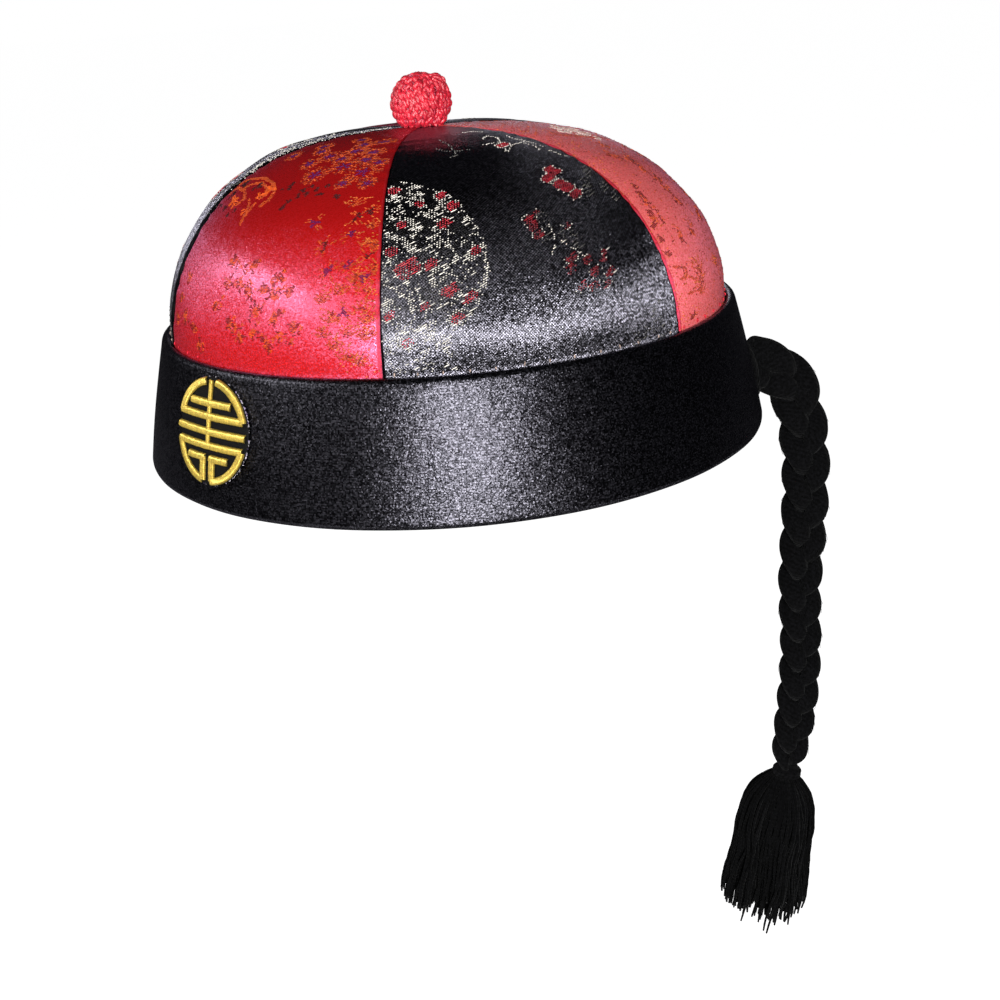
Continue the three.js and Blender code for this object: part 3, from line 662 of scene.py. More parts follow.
# One float of the brocade: its points in shares of its length, width and height, and its faces
FLOAT_FORM = np.array([[-0.5, 0, -0.4], [-0.3, 0.45, 0], [-0.3, 0, 0.8], [-0.3, -0.45, 0],
                       [0.3, 0.45, 0], [0.3, 0, 0.8], [0.3, -0.45, 0], [0.5, 0, -0.4]])
FLOAT_QUADS = np.array([[1, 4, 5, 2], [2, 5, 6, 3], [3, 6, 4, 1]])
FLOAT_TRIS = np.array([[0, 1, 2], [0, 2, 3], [0, 3, 1], [7, 5, 4], [7, 6, 5], [7, 4, 6]])


def lay_floats(shell, middle, mirror, places, dyes, size, slant):
    """Short raised threads of the brocade: one small six-sided form a place, length along the slant."""
    length, width, height = size
    step = 0.4
    across, up = places.T
    flipped = across * mirror
    at = crown_surface(middle, flipped, up, -0.02)
    right = unit(crown_surface(middle, flipped + step, up) - crown_surface(middle, flipped - step, up))
    rise = unit(crown_surface(middle, flipped, up + step) - crown_surface(middle, flipped, up - step))
    along = unit(right * math.cos(slant) + rise * math.sin(slant) * mirror)
    out = unit(np.cross(right, rise))
    side = np.cross(out, along)
    form = FLOAT_FORM * (1, width, height)
    long = np.broadcast_to(length, len(at))[:, None, None]
    points = (at[:, None] + form[:, :1] * along[:, None] * long + form[:, 1:2] * side[:, None]
              + form[:, 2:] * out[:, None])
    first = np.arange(len(at))[:, None, None] * len(form)
    faces = [(first + part).reshape(-1, part.shape[1]) for part in (FLOAT_QUADS, FLOAT_TRIS)]
    shell.add(points, faces, np.repeat(places, len(form), axis=0), np.repeat(dyes, len(form), axis=0))


def lattice(slant, along_pitch, row_pitch):
    """Places of a slanted brick lattice over a gore, inside its seams."""
    i, j = np.meshgrid(np.arange(-180, 181), np.arange(-260, 261))
    a = (i + 0.5 * (j % 2)) * along_pitch
    b = j * row_pitch
    x = (a * math.cos(slant) - b * math.sin(slant)).ravel()
    y = (a * math.sin(slant) + b * math.cos(slant)).ravel()
    inside = (y > -1) & (y < 106) & (np.abs(x) < half_width(y) - 0.55)
    return np.stack([x[inside], y[inside]], axis=-1)


def shade_of(colour, count, rng, spread):
    """A dye for each thread: the colour times a random brightness, with full cover."""
    colour = np.asarray(colour)[None, :] * rng.uniform(1 - spread, 1 + spread, (count, 1))
    return np.hstack([colour, np.ones((count, 1))])


def black_floats(number, settings, rng):
    """Places, dyes, form and slant of the floats of a black gore."""
    slant = 0.42
    at = lattice(slant, 0.9, 0.5)
    x, y = at.T

    def chance(share):
        return rng.random(len(at)) < share

    lines, clumps, petals, dashes = (reach(at, group) for group in black_threads(rng))
    cream = np.minimum(clumps, np.abs(petals - 0.3) - 0.25) + rng.uniform(-0.3, 0.45, len(at)) < 0
    lumps = np.sin(x * 0.9 + 2 * np.sin(y * 0.35)) + np.sin(y * 0.75 + 1.7 * np.sin(x * 0.4))
    cream |= (lines < 0.1) | (x < medallion_edge(y) - 0.5) & (y < 56) & (y > 1) & chance(0.12 + 0.2 * lumps)
    if number == 6:
        cream |= (y > 12) & (x > half_width(y) - 4.5) & chance(0.015 + 0.3 * (y > 56))
    far = (x > -12) & (y < 44)
    cream &= ~far | chance(0.45) | (lines < 0.1)
    red = (petals < 0.05) & ~(cream & chance(0.12)) & ~(far & chance(0.3))
    cream &= ~red
    dim = (dashes < 0.1) & ~red & ~cream & chance(0.7)
    petal = shade_of(settings.petal, red.sum(), rng, 0.35) * np.where(far[red], 0.6, 1.0)[:, None] ** (1, 1, 1, 0)
    dyes = np.vstack([shade_of(settings.cream, cream.sum(), rng, 0.35), petal,
                      shade_of([c * 0.16 for c in settings.cream], dim.sum(), rng, 0.5)])
    count = len(dyes)
    long = np.where(rng.random(count) < 0.13, rng.uniform(1.3, 2.2, count), rng.uniform(0.42, 0.62, count))
    return np.vstack([at[cream], at[red], at[dim]]), dyes, (long, 0.36, 0.17), slant


def red_floats(number, settings, rng):
    """Places, dyes, form and slant of the floats of a red gore."""
    slant = 0.2
    at = lattice(slant, 0.62, 0.4)
    x, y = at.T
    pink = number == 3
    lines, fills, marks, blues, golds, darks, painted_highlight_threads = red_threads(pink, rng)
    side, top = (-1, 88) if pink else (1, 52)
    fringe = (half_width(y) - side * x < 8 + 4 * np.sin(y * 0.5)) & (y < top)
    curls = np.sin(x * 0.7 + 2 * np.sin(y * 0.3)) + np.sin(y * 0.6 + 2 * np.sin(x * 0.4))
    taken = np.zeros(len(at), bool)
    chosen, dyes = [], []
    for group, dye, more in ((darks, settings.dark, 0.0), (golds, settings.fleck, 0.0), (blues, settings.blue, 0.0),
                             (marks, settings.mark, 0.0), (fills, settings.orange, 0.0), (lines, settings.gold, 0.1),
                             (painted_highlight_threads, settings.pale, 0.2)):
        here = (reach(at, group) < more) & ~taken & (rng.random(len(at)) < 0.9)
        if group is golds:
            here |= fringe & ~taken & (rng.random(len(at)) < 0.04)
        if pink and (group is lines or group is marks):
            here |= ~taken & (np.abs(curls - 0.4) < 0.16) & (rng.random(len(at)) < (0.4 if group is lines else 0.12))
        taken |= here
        chosen.append(at[here])
        dyes.append(shade_of(dye, here.sum(), rng, 0.35))
    return np.vstack(chosen), np.vstack(dyes), (0.72, 0.36, 0.14), slant


def make_gore(number, colour, settings, material):
    """One gore: a closed sheet of cloth over its cloth grid, and the brocade's floats on its outer side."""
    middle = GORE_TURN + 60 * (number - 1)
    black = colour == "black"
    mirror = -1 if number == 5 else 1
    edges = np.array([0.984, 0.991, 0.996, 1.0])
    columns = np.concatenate([-edges[::-1], np.linspace(-0.975, 0.975, 61), edges])
    up = np.concatenate([np.linspace(PROFILE[2][0], 0, 10, endpoint=False), np.linspace(0, PROFILE[2][-1], 100)])
    across = columns * half_width(up)[:, None]
    outer, inner = (crown_surface(middle, across, up[:, None] + 0 * across, depth) for depth in (0.0, CROWN_WALL))
    inner = np.where(np.abs(columns)[None, :, None] > 0.98, outer * 0.4 + inner * 0.6, inner)
    ring = np.concatenate([outer, inner[:, ::-1]], axis=1)
    rows, wide = ring.shape[:2]
    k = np.arange(len(columns) - 1)
    start, end = (row * wide + np.stack([k, k + 1, wide - 2 - k, wide - 1 - k], axis=-1) for row in (0, rows - 1))
    faces = [np.concatenate([grid_faces(rows, wide, False, True), start[:, ::-1], end])]
    x = np.concatenate([across, across[:, ::-1]], axis=1)
    y = np.broadcast_to(up[:, None], x.shape)
    inside = medallion_edge(y) - x * mirror
    dotted = smooth_step(inside, -1, 3) * smooth_step(y, 2, 14) * (1 - smooth_step(y, 50, 60))
    seam = smooth_step(np.abs(columns), 0.977, 0.99)
    if number == 6:
        seam = np.maximum(seam, 0.6 * smooth_step(columns, 0.84, 0.94))
    # The extra value is 1 on red gore 3 only: there the brocade paints light as a lighter coral ground
    zone = (dotted if black else float(number == 3)) - 2 * np.concatenate([seam, seam[::-1]]) + 0 * y
    shell = Shell()
    shell.add(ring, faces, np.stack([x, y], axis=-1), extra=zone.ravel())
    floats = black_floats if black else red_floats
    lay_floats(shell, middle, mirror, *floats(number, settings, np.random.default_rng(40 + number)))
    name = f"crown_gore_{number}_{colour}"
    return shell.piece(f"gore_{number}_{colour}", material, f"{colour}_brocade", name)


def make_brocade(name, ground, rough, dots, sheen, ior, deep):
    """Satin ground with fine floats across, glints and slow streaks; raised threads keep their own dye, a
    round dot shows in each small cell where the extra value is high, and the seams are dull where it is low.
    The ground is lighter in random specks, partly the tone of single floats and partly painted glints. On the
    red cloth the ground darkens up the crown as painted shade, and where the extra value is high it is a
    lighter coral copy, painted light on the right-hand gore."""
    finish = Finish(name)
    specks, cells, slow = satin_grain(finish)
    # Partly the random tone of single floats, partly painted glints: the ground is lighter in specks
    cloth = specks.above(0.5, 0.72).mix(tuple(c * 0.8 for c in ground), tuple(c * 1.8 + 0.003 for c in ground))
    if dots:
        a = (finish.u * 0.94 + finish.v * 0.34) * (1 / 0.62)
        b = (finish.v * 0.94 - finish.u * 0.34) * (1 / 0.62)
        patch = finish.cloth.scaled(0.16).noise(1.0).above(0.42, 0.62)
        round_dots = (a.wave(1.0) * b.wave(1.0)).above(0.5, 0.85)
        cloth = (round_dots * (finish.extra * patch * 0.42 + 0.035)).mix(cloth, dots)
    else:
        # Painted shade: the red ground darkens up the crown, from 20 to 46 mm above the band
        cloth = finish.v.above(20, 46).mix(cloth, tuple(c * 0.6 for c in ground))
        # Painted light: where the extra value is high (the right-hand gore) the ground is a lighter coral copy
        cloth = finish.extra.mix(cloth, specks.above(0.35, 0.7).mix((0.92, 0.1, 0.1), (1.0, 0.24, 0.22)))
    seam = (finish.extra * -1).above(0.1, 1.0)
    shine = (finish.weave(0.58) * 0.75 + 0.25) * (0.15 + cells * cells * 0.85) * (1 - seam)
    ground_surface = finish.shader(
        cloth, rough + (slow - 0.5) * 0.1 + (cells - 0.5) * 0.24 + seam * 0.5, specks * 0.06 + slow * 0.5,
        finish.facets(2.7, 2.9, 0.2 if dots else 0.16), Metallic=(1 - shine) * deep, IOR=ior,
        Specular_IOR_Level=1.0, Specular_Tint=sheen, Anisotropic=1.0 if dots else 0.9)
    thread_surface = finish.shader(finish.dye, 0.32 + cells * 0.2, None, Specular_IOR_Level=1.0 if dots else 0.3)
    both = {0: finish.dyed, 1: ground_surface, 2: thread_surface}
    return finish.close(finish.cloth.node("MixShader", {}, both))


def make_seam_stitches(settings, material):
    """Short upright stitches that show above the band's top edge, each a bowed thread with its ends in the cloth."""
    rng = np.random.default_rng(7)
    count = SEAM_STITCHES
    angle = np.linspace(0, 360, count, endpoint=False) + rng.uniform(-0.8, 0.8, count)
    share = np.linspace(0, 1, 6)
    bow = np.sin(np.pi * share)
    height = BAND_HEIGHT + 0.15 + rng.uniform(0.6, 1.2, count)[:, None] * share
    turn = angle[:, None] + rng.uniform(-0.25, 0.25, count)[:, None] * share
    out = CROWN_RADIUS + 0.2 + 0.2 * bow - 0.03 * (height - BAND_HEIGHT)
    red = np.floor((angle - GORE_TURN + 30) / 60) % 2 == 0
    dyes = np.where(red[:, None], shade_of(settings.knit, count, rng, 0.2), shade_of(settings.stitch, count, rng, 0.3))
    shell = Shell()
    shell.threads(around(turn, out, height), 0.17 + 0.05 * bow, 5, around(angle + 90, 1.0, 0.0), dyes)
    return shell.piece("seam_stitches", material, "gold_thread")


# Button


def on_button(turn, run):
    """A place on the button's side, from the angle round its axis and the length along its profile from the
    base; knitting pulls it a little lower than round, and one shoulder stands up."""
    fine = smooth_line(np.array(BUTTON_PROFILE[3:], float), 120)
    length = run_along(fine)
    share = np.clip(run / length[-1], 0, 1)
    shoulder = np.exp(-(np.angle(np.exp(1j * (turn - 0.7))) / 0.5) ** 2 - ((share - 0.68) / 0.1) ** 2)
    wave = 0.03 * np.sin(2 * turn + 1.0) * np.sin(np.pi * share) + 0.02 * np.sin(5 * turn + 7 * share)
    radius = np.interp(run, length, fine[:, 0]) * (0.94 + wave + 0.09 * shoulder)
    height = np.interp(run, length, fine[:, 1]) * (0.89 + 0.07 * shoulder)
    return np.stack([radius * np.cos(turn), radius * np.sin(turn), height], axis=-1)


def make_button(settings, material):
    """A ball with courses of knit stitches: each is two legs, bowed yarns that part upwards in a V; the courses
    wander up and down and the stitches lean, by low sine waves, as in loose knitting. Loose fibres lie over it."""
    centre = np.array([APEX_LEAN[0], APEX_LEAN[1], BUTTON_BASE])
    rng = np.random.default_rng(11)

    def spread(low, high):
        return rng.uniform(low, high, (count, 1))

    shell = Shell()
    yarn = settings.button_yarn / MM
    core = [(r * 0.84 if h >= 0 else r, h if h < 4 else h * 0.84) for r, h in BUTTON_PROFILE]
    # The core under the stitches is dyed darker than the yarn: painted shade in the gaps between the stitches
    shell.add(*lathe(core, 40, lambda p: p + centre), dye=(*[c * 0.8 for c in settings.knit], 1))
    courses = settings.button_courses
    pitch = BUTTON_SIDE / courses
    share = np.linspace(0, 1, 8)
    bulge = np.sin(np.pi * share)
    for course in range(-1, courses):
        foot = (course - 0.1) * pitch
        round_at = np.hypot(*on_button(0.0, np.clip(foot + pitch * 0.6, 0, BUTTON_SIDE))[:2])
        count = max(5, round(TURN * round_at / (yarn * 3.3)))
        middle = TURN * (np.arange(count) + rng.random()) / count + rng.uniform(-0.22, 0.22, count) * np.pi / count
        axis = np.stack([-np.sin(middle), np.cos(middle), 0 * middle], axis=-1)
        for way in (-1, 1):
            part = np.pi / count * (0.1 + 0.95 * share**spread(0.8, 1.5))
            turn = middle[:, None] + way * part + spread(-0.25, 0.25) * np.pi / count * (1 + share)
            run = foot + pitch * spread(1.1, 1.6) * share + spread(-0.45, 0.45)
            lean = 0.8 * np.sin(2 * turn + 0.4 * course) + 0.5 * np.sin(3 * turn - 1.1 - 0.7 * course)
            run = np.clip(run + lean * np.sin(np.pi * np.clip(foot / BUTTON_SIDE, 0, 1)), 0, BUTTON_SIDE)
            turn = turn + 0.1 * np.sin(0.55 * run + 2 * turn)
            beside = on_button(turn + 0.02, run) - on_button(turn - 0.02, run)
            above = (on_button(turn, np.clip(run + 0.2, 0.2, BUTTON_SIDE))
                     - on_button(turn, np.clip(run - 0.2, 0, BUTTON_SIDE - 0.2)))
            out = unit(np.cross(beside, above)) * (spread(0.2, 0.75) * bulge - 0.55)[..., None]
            thick = yarn * (0.62 + 0.4 * bulge) * spread(0.8, 1.1)
            shell.threads(on_button(turn, run) + out + centre, thick, 7, axis, shade_of(settings.knit, count, rng, 0.2))
    count = BUTTON_HAIRS
    turn, run = spread(0, TURN), spread(0.5, BUTTON_SIDE - 1)
    share = np.linspace(0, 1, 5)
    at = on_button(turn + spread(-0.14, 0.14) * share, run + spread(-1.3, 1.3) * share)
    middle = np.array([0, 0, 7.0])
    paths = middle + (at - middle) * (0.995 + spread(0.01, 0.05) * np.sin(np.pi * share))[..., None] + centre
    dyes = shade_of(settings.knit, count, rng, 0.3) * (1.15, 1.0, 1.0, 1) + (0, 0.09, 0.16, 0)
    shell.threads(paths, 0.07, 4, np.tile([0, 0, 1.0], (count, 1)), dyes)
    return shell.piece("knitted_button", material, "red_knit", "crown_button")


def make_yarn(name, rough, twist, gloss, spread=0.25, lumps=2.2):
    """Twisted yarn: the dye, with ply ridges that slant round the thread and a fuzz of fine fibres; the colour
    is mottled by the fibres and darker in the grooves between the plies, a painted shade.
    """
    finish = Finish(name)
    fibre = finish.place.scaled(lumps).noise(2.0, 0.7)
    ply = (finish.v + finish.u * 0.55).wave(twist)
    # Mottled tone of the fibres, and painted shade: the colour is darker in the grooves between the plies
    light = fibre.above(0.35, 0.7) * 0.75 + ply * 0.25
    colour = light.mix(finish.dye.scaled(1 - spread), finish.dye.scaled(1 + spread))
    return finish.surface(colour, rough + fibre * 0.1, ply * 0.1 + fibre * 0.14, Specular_IOR_Level=gloss,
                          Sheen_Weight=0.02, Sheen_Roughness=0.5)


# Badge


def on_band(across, up, out):
    """Wraps flat badge places onto the leaning band: across round it, up along its slope, out from it."""
    z = BADGE_HEIGHT + up * math.cos(BAND_LEAN)
    radius = band_outer(z)
    angle = BADGE_TURN + np.degrees(across * BADGE_WIDEN / radius)
    return around(angle, radius + out * math.cos(BAND_LEAN), z + out * math.sin(BAND_LEAN))


def straight(x0, y0, x1, y1):
    return np.linspace((x0, y0), (x1, y1), 40) * BADGE_RADIUS


def arc(radius, start, end):
    turn = np.radians(np.linspace(start, end, 60))
    return np.stack([np.cos(turn), np.sin(turn)], axis=-1) * radius * BADGE_RADIUS


def ornament_bars():
    """Middle lines of the round ornament, from the same shares of the badge's radius as the frame's."""
    bars = [straight(0, 0.94, 0, -0.26)]
    bars += [straight(-half, up, half, up) for up, half in ((0.52, 0.55), (0.28, 0.88), (0, 0.94), (-0.26, 0.89))]
    for side, upper, lower in ((-1, (162.5, 100), (196, 261)), (1, (17.5, 80), (-16, -81))):
        bars += [arc(0.92, *upper), arc(0.92, *lower), straight(side * 0.13, -0.9, side * 0.13, -0.47),
                 straight(side * 0.08, -0.49, side * 0.54, -0.49)]
    return bars


def make_badge_ground(settings, material):
    """A round of black cloth, slightly domed, with the loose thread ends of its cut edge."""
    r = BADGE_RADIUS
    profile = [(0, 0.3), (r * 0.5, 0.3), (r - 0.4, 0.3), (r - 0.05, 0.45), (r, 0.7), (r - 0.1, 0.95), (r - 0.4, 1.05),
               (r * 0.9, 1.08), (r * 0.75, 1.1), (r * 0.6, 1.12), (r * 0.4, 1.13), (r * 0.2, 1.14), (0, 1.14)]
    flat, faces = lathe(profile, 96, lambda p: p)
    shell = Shell()
    shell.add(on_band(*flat.T), faces, flat[:, :2])
    rng = np.random.default_rng(5)
    count = BADGE_LOOSE_ENDS
    angle = np.radians(np.concatenate([rng.uniform(-60, 50, count - 40), rng.uniform(50, 300, 40)]))
    share = np.linspace(0, 1, 5)
    turn = angle[:, None] + rng.uniform(-0.09, 0.09, (count, 1)) * share
    out = r - 0.5 + rng.uniform(0.4, 0.85, (count, 1)) * share
    lift = 0.78 - rng.uniform(0.0, 0.35, (count, 1)) * share
    paths, beside = (on_band(out * np.cos(turn + more), out * np.sin(turn + more), lift) for more in (0, 0.05))
    dyes = shade_of(settings.fray, count, rng, 0.25)
    dyes[::4, :3] = np.array(settings.fray) * (0.55, 0.4, 0.8)
    shell.threads(paths, 0.08, 4, unit(beside - paths), dyes)
    return shell.piece("badge_cloth", material, "badge_cloth", "badge_ground")


def make_ornament(settings, material):
    """Satin stitch: along each bar, threads cross it side by side, arched as a half ellipse over its padding."""
    shell = Shell()
    rng = np.random.default_rng(3)
    pitch = settings.gold_thread / MM
    share = np.linspace(-1, 1, 9)
    for number, line in enumerate(ornament_bars()):
        length = run_along(line)[-1]
        count = int(length / pitch)
        middle = smooth_line(line, count)
        along = unit(np.gradient(middle, axis=0))[:, None]
        side = np.stack([-along[..., 1], along[..., 0]], axis=-1)
        width = GOLD_HALF_WIDTH * (1.0 if number else 0.55)
        reached = share[:, None] * width * (1 + rng.uniform(-0.06, 0.06, (count, 1, 1)))
        flat = middle[:, None] + side * reached + along * share[:, None] * pitch * 0.55
        arch = (0.72 + 0.006 * number) * np.clip(1 - np.abs(share) ** 3.4, 0, 1) ** 0.55
        out = 1.2 + arch + rng.uniform(-0.03, 0.03, (count, 1))
        paths, ahead = (on_band(*np.moveaxis(flat + step * along, -1, 0), out) for step in (0, 0.2))
        shell.threads(paths, pitch * 0.62, 5, ahead - paths, shade_of(settings.gold_light, count, rng, 0.16))
        inner = smooth_line(line, max(6, int(length / 0.8)))
        way = unit(np.gradient(inner, axis=0))
        aside = np.stack([-way[:, 1], way[:, 0]], axis=-1)
        pad, beside = (on_band(*(inner + step * aside).T, 1.42)[None] for step in (0, 1))
        # The padding is dyed a dark gold: painted shade where it shows between the threads
        dye = [(*[c * 0.35 for c in settings.gold_light], 1)]
        shell.threads(pad, width * 0.9, 12, beside - pad, dye, 0.4)
    return shell.piece("badge_gold", material, "gold_thread", "badge_ornament")


def make_badge_cloth(settings):
    """Black twill, with the dye of its loose ends kept."""
    finish = Finish("badge_cloth")
    twill = (finish.u * 0.8 + finish.v * 0.6).wave(0.7) * (finish.v * 0.9 - finish.u * 0.3).wave(0.5)
    fuzz = finish.cloth.scaled(2.4).noise(2.0)
    shade = (twill * 0.8 + fuzz * 0.5).above(0.3, 0.95)
    cloth = shade.mix(tuple(settings.badge), tuple(c * 2 + 0.002 for c in settings.badge))
    height = (twill * 0.07 + fuzz * 0.04) * (1 - finish.dyed)
    return finish.surface(finish.dyed.mix(cloth, finish.dye), 0.6 + fuzz * 0.2, height, Specular_IOR_Level=0.12)


def make_gold():
    """Gold embroidery thread: bright where it is pulled over the padding, browner in its grain."""
    finish = Finish("gold_thread")
    grain = finish.place.scaled(3.0).noise(2.0)
    colour = grain.above(0.3, 0.6).mix(finish.dye.scaled(0.62), finish.dye)
    return finish.surface(colour, 0.27 + grain * 0.15, grain * 0.05, Metallic=0.6, Specular_IOR_Level=0.8)


# Queue


def queue_middle(count):
    """The queue's middle line in the hat, from the frame's points in the upright plane at its angle."""
    line = np.array(QUEUE_LINE)
    return smooth_line(around(QUEUE_ANGLE, line[:, 0], line[:, 1]), count)


def plait_phase(share, length):
    """Phase of the plait: its rate follows the spacing of the lobes, in whole thirds of a turn."""
    top, low = LOBE_PITCH
    turns = length / (low - top) * np.log(1 + (low - top) / top * share) / 3
    all_turns = length / (low - top) * math.log(low / top) / 3
    return np.pi / 2 + 2 * np.pi * turns * (round(all_turns * 3) / 3) / all_turns


def make_plait(settings, material):
    """Three flattened hanks. Across the plait each follows w sin(p), through it d sin(2 p), a third of a turn
    apart, and its section is an ellipse with shallow plies that twist round it. Fine hairs lie along it."""
    line = queue_middle(PLAIT_RINGS)
    back = np.linspace(-2.6, 0, 6)[:-1]
    middle = np.vstack([line[0] + back[:, None] * unit(line[2] - line[0]), line])
    run = np.concatenate([back, run_along(line)])
    total, count = run[-1], len(run)
    share = np.clip(run, 0, None) / total
    depth_way = around(QUEUE_ANGLE + 90, 1.0, 0.0)
    across_way = unit(np.cross(unit(np.gradient(middle, axis=0)), depth_way))
    whole = np.interp(run, [0, 10, 24, 60, 105, 135, 150, total], [10.2, 9.0, 8.2, 8.0, 7.1, 7.2, 6.8, 5.0])
    start = np.sqrt(np.clip(1 - np.clip(-0.9 * run / 2.6, 0, None) ** 2, 0, 1))
    full = smooth_step(total - run, 0, 7) * start
    turn = TURN * np.arange(40) / 40
    rng = np.random.default_rng(21)
    shell = Shell()
    for strand in range(3):
        phase = plait_phase(share, total) + strand * TURN / 3
        bulge = 0.8 + 0.3 * np.sin(phase) ** 2
        wide = whole * 0.5 * (0.55 + 0.45 * full) * bulge
        thick = 3.1 * bulge * (0.6 + 0.4 * full) * np.interp(run, [0, 30], [1.05, 0.95])
        through = 3.3 * (0.45 + 0.55 * full) * np.sin(2 * phase)
        path = middle + across_way * (whole * 0.45 * np.sin(phase))[:, None] + depth_way * through[:, None]
        along = unit(np.gradient(path, axis=0))
        side = unit(np.cross(along, depth_way))
        up = np.cross(along, side)
        plies = 1 + 0.035 * np.cos(11 * turn + run[:, None] * 0.22) + 0.02 * np.sin(5 * turn - run[:, None] * 0.6)
        ring = (side[:, None] * (wide[:, None] * plies * np.cos(turn))[..., None]
                + up[:, None] * (thick[:, None] * plies * np.sin(turn))[..., None])
        rings = path[:, None] + ring
        shell.tube(rings, (path[:1], path[-1:]), turn * 3.2, run, (*settings.yarn, 1))
        hairs = settings.plait_fibres // 3
        row, col = rng.integers(4, count - 12, hairs), rng.integers(0, len(turn), hairs)
        t = np.linspace(0, 1, 4)[:, None]
        out = unit(ring[row, col])
        slope = unit(along[row] + rng.uniform(-0.5, 0.5, (hairs, 1)) * np.cross(along[row], out))
        span = rng.uniform(1.0, 2.6, (hairs, 1, 1))
        bow = rng.uniform(0.08, 0.28, (hairs, 1, 1)) * np.sin(np.pi * 0.8 * t)
        paths = rings[row, col][:, None] + slope[:, None] * span * t + out[:, None] * (bow - 0.05)
        shell.threads(paths, 0.07, 3, out, shade_of(settings.yarn, hairs, rng, 0.5))
    plait = shell.piece("plait", material, "black_yarn", "queue_strand_1", "queue_strand_2", "queue_strand_3")
    return plait, line


def make_root(settings, material):
    """A short oval stump of gathered yarn, on the band's outward slope, with plies round it."""
    base = 9.0
    way = around(QUEUE_ANGLE, math.cos(BAND_LEAN), math.sin(BAND_LEAN))
    start = around(QUEUE_ANGLE, band_outer(base) - 0.3, base)
    side = around(QUEUE_ANGLE + 90, 1.0, 0.0)
    up = np.cross(way, side)
    t = np.linspace(0, 1, 12)
    scale = np.concatenate([[0.96], np.sqrt(1 - 0.62 * t[1:] ** 3)])[:, None]
    turn = TURN * np.arange(96) / 96
    scale = scale * (1 + 0.035 * np.cos(16 * turn))
    ring = (side * (6.9 * scale * np.cos(turn))[..., None] + up * (10.0 * scale * np.sin(turn))[..., None]
            + start + (way * (t * 3.2)[:, None])[:, None])
    shell = Shell()
    shell.tube(ring, ([start], [start + way * 3.4]), turn * 8, t * 3.2, (*settings.yarn, 1))
    return shell.piece("plait_root", material, "black_yarn", "queue_root")


def make_binding(settings, material):
    """Yarn wound round the plait's end: a helix of close turns over a short core."""
    middle = queue_middle(400)
    end, ways = middle[-1], ways_along(unit(middle[-1] - middle[-4]))
    turns = 5
    t = np.linspace(0, 1, turns * 28)
    turn = TURN * turns * t
    out = 4.75 + 0.12 * np.sin(turn * 1.3)
    path = end + np.stack([out * np.cos(turn), out * np.sin(turn), 0.55 + 2.2 * t], axis=-1) @ ways
    shell = Shell()
    shell.threads(path[None], 0.42, 7, ways[2:], [(*settings.yarn, 1)])
    core = [(0, 0.2), (4.4, 0.2), (4.6, 1.6), (4.4, 3.2), (0, 3.2)]
    shell.add(*lathe(core, 32, lambda p: end + p @ ways), dye=(*settings.yarn, 1))
    return shell.piece("plait_tie", material, "black_yarn", "queue_binding")


def make_tassel(settings, material):
    """Cut yarns laid over a mushroom head: each runs out from the tie, over the head's shoulder and down, at a
    radius that is its share of the tassel's, with a small wave; the ends are ragged and one yarn is long."""
    top = around(QUEUE_ANGLE, *TASSEL_TOP)
    ways = ways_along(unit(around(QUEUE_ANGLE, *TASSEL_FOOT) - top))
    rng = np.random.default_rng(17)
    count, steps = settings.tassel_yarns, 22

    def spread(low, high):
        return rng.uniform(low, high, (count, 1))

    length = rng.uniform(47, 55.5, count)
    length[rng.random(count) < 0.18] += 3
    share = rng.uniform(0, 1, count) ** 0.42
    angle = rng.uniform(0, TURN, count)
    length[-1], share[-1], angle[-1] = 66.0, 0.4, 0.3
    down = np.linspace(0, 1, steps) ** 1.15 * length[:, None]
    radius = np.interp(down, [0, 2, 4, 8, 12, 19, 30, 38, 45, 60, 80],
                       [4.2, 6.6, 8.8, 11.6, 13.1, 14.0, 13.8, 14.9, 15.4, 15.3, 14.0])
    wave = 0.5 * np.sin(down / spread(2.5, 4.5) + spread(0, 6.3)) * smooth_step(down, 12, 25)
    out = radius * share[:, None] + wave
    turn = angle[:, None] + 0.05 * np.sin(down / spread(4, 9) + spread(0, 6.3))
    turn = turn + spread(-0.18, 0.18) * smooth_step(down, 18, 55)
    places = np.stack([out * np.cos(turn), out * np.sin(turn), down + (1 - share[:, None]) * 1.5], axis=-1)
    thick = settings.tassel_yarn / MM * np.ones((count, steps)) * spread(0.85, 1.15)
    thick[:, -1] *= 0.8
    axis = np.stack([-np.sin(angle), np.cos(angle), 0 * angle], axis=-1) @ ways
    shell = Shell()
    dyes = shade_of([c * 0.55 for c in settings.yarn], count, rng, 0.4)
    shell.threads(top + places @ ways, thick, 5, axis, dyes)
    core = [(0, 0.4), (4, 0.6), (7.2, 3.4), (10.4, 8), (11.4, 13), (11.8, 22), (11.4, 36), (10, 44), (0, 45)]
    shell.add(*lathe(core, 40, lambda p: top + p @ ways), dye=(*[c * 0.4 for c in settings.yarn], 1))
    return shell.piece("tassel_yarns", material, "black_yarn", "tassel")


# Settings a user would change


def length_prop(name, description, default, high):
    return FloatProperty(name=name, description=description, default=default, min=0.0, max=high, unit="LENGTH",
                         precision=5)


def count_prop(name, description, default, low, high):
    return IntProperty(name=name, description=description, default=default, min=low, max=high)


def colour_prop(name, description, default):
    return FloatVectorProperty(name=name, description=description, default=default, size=3, subtype="COLOR",
                               min=0.0, max=1.0)


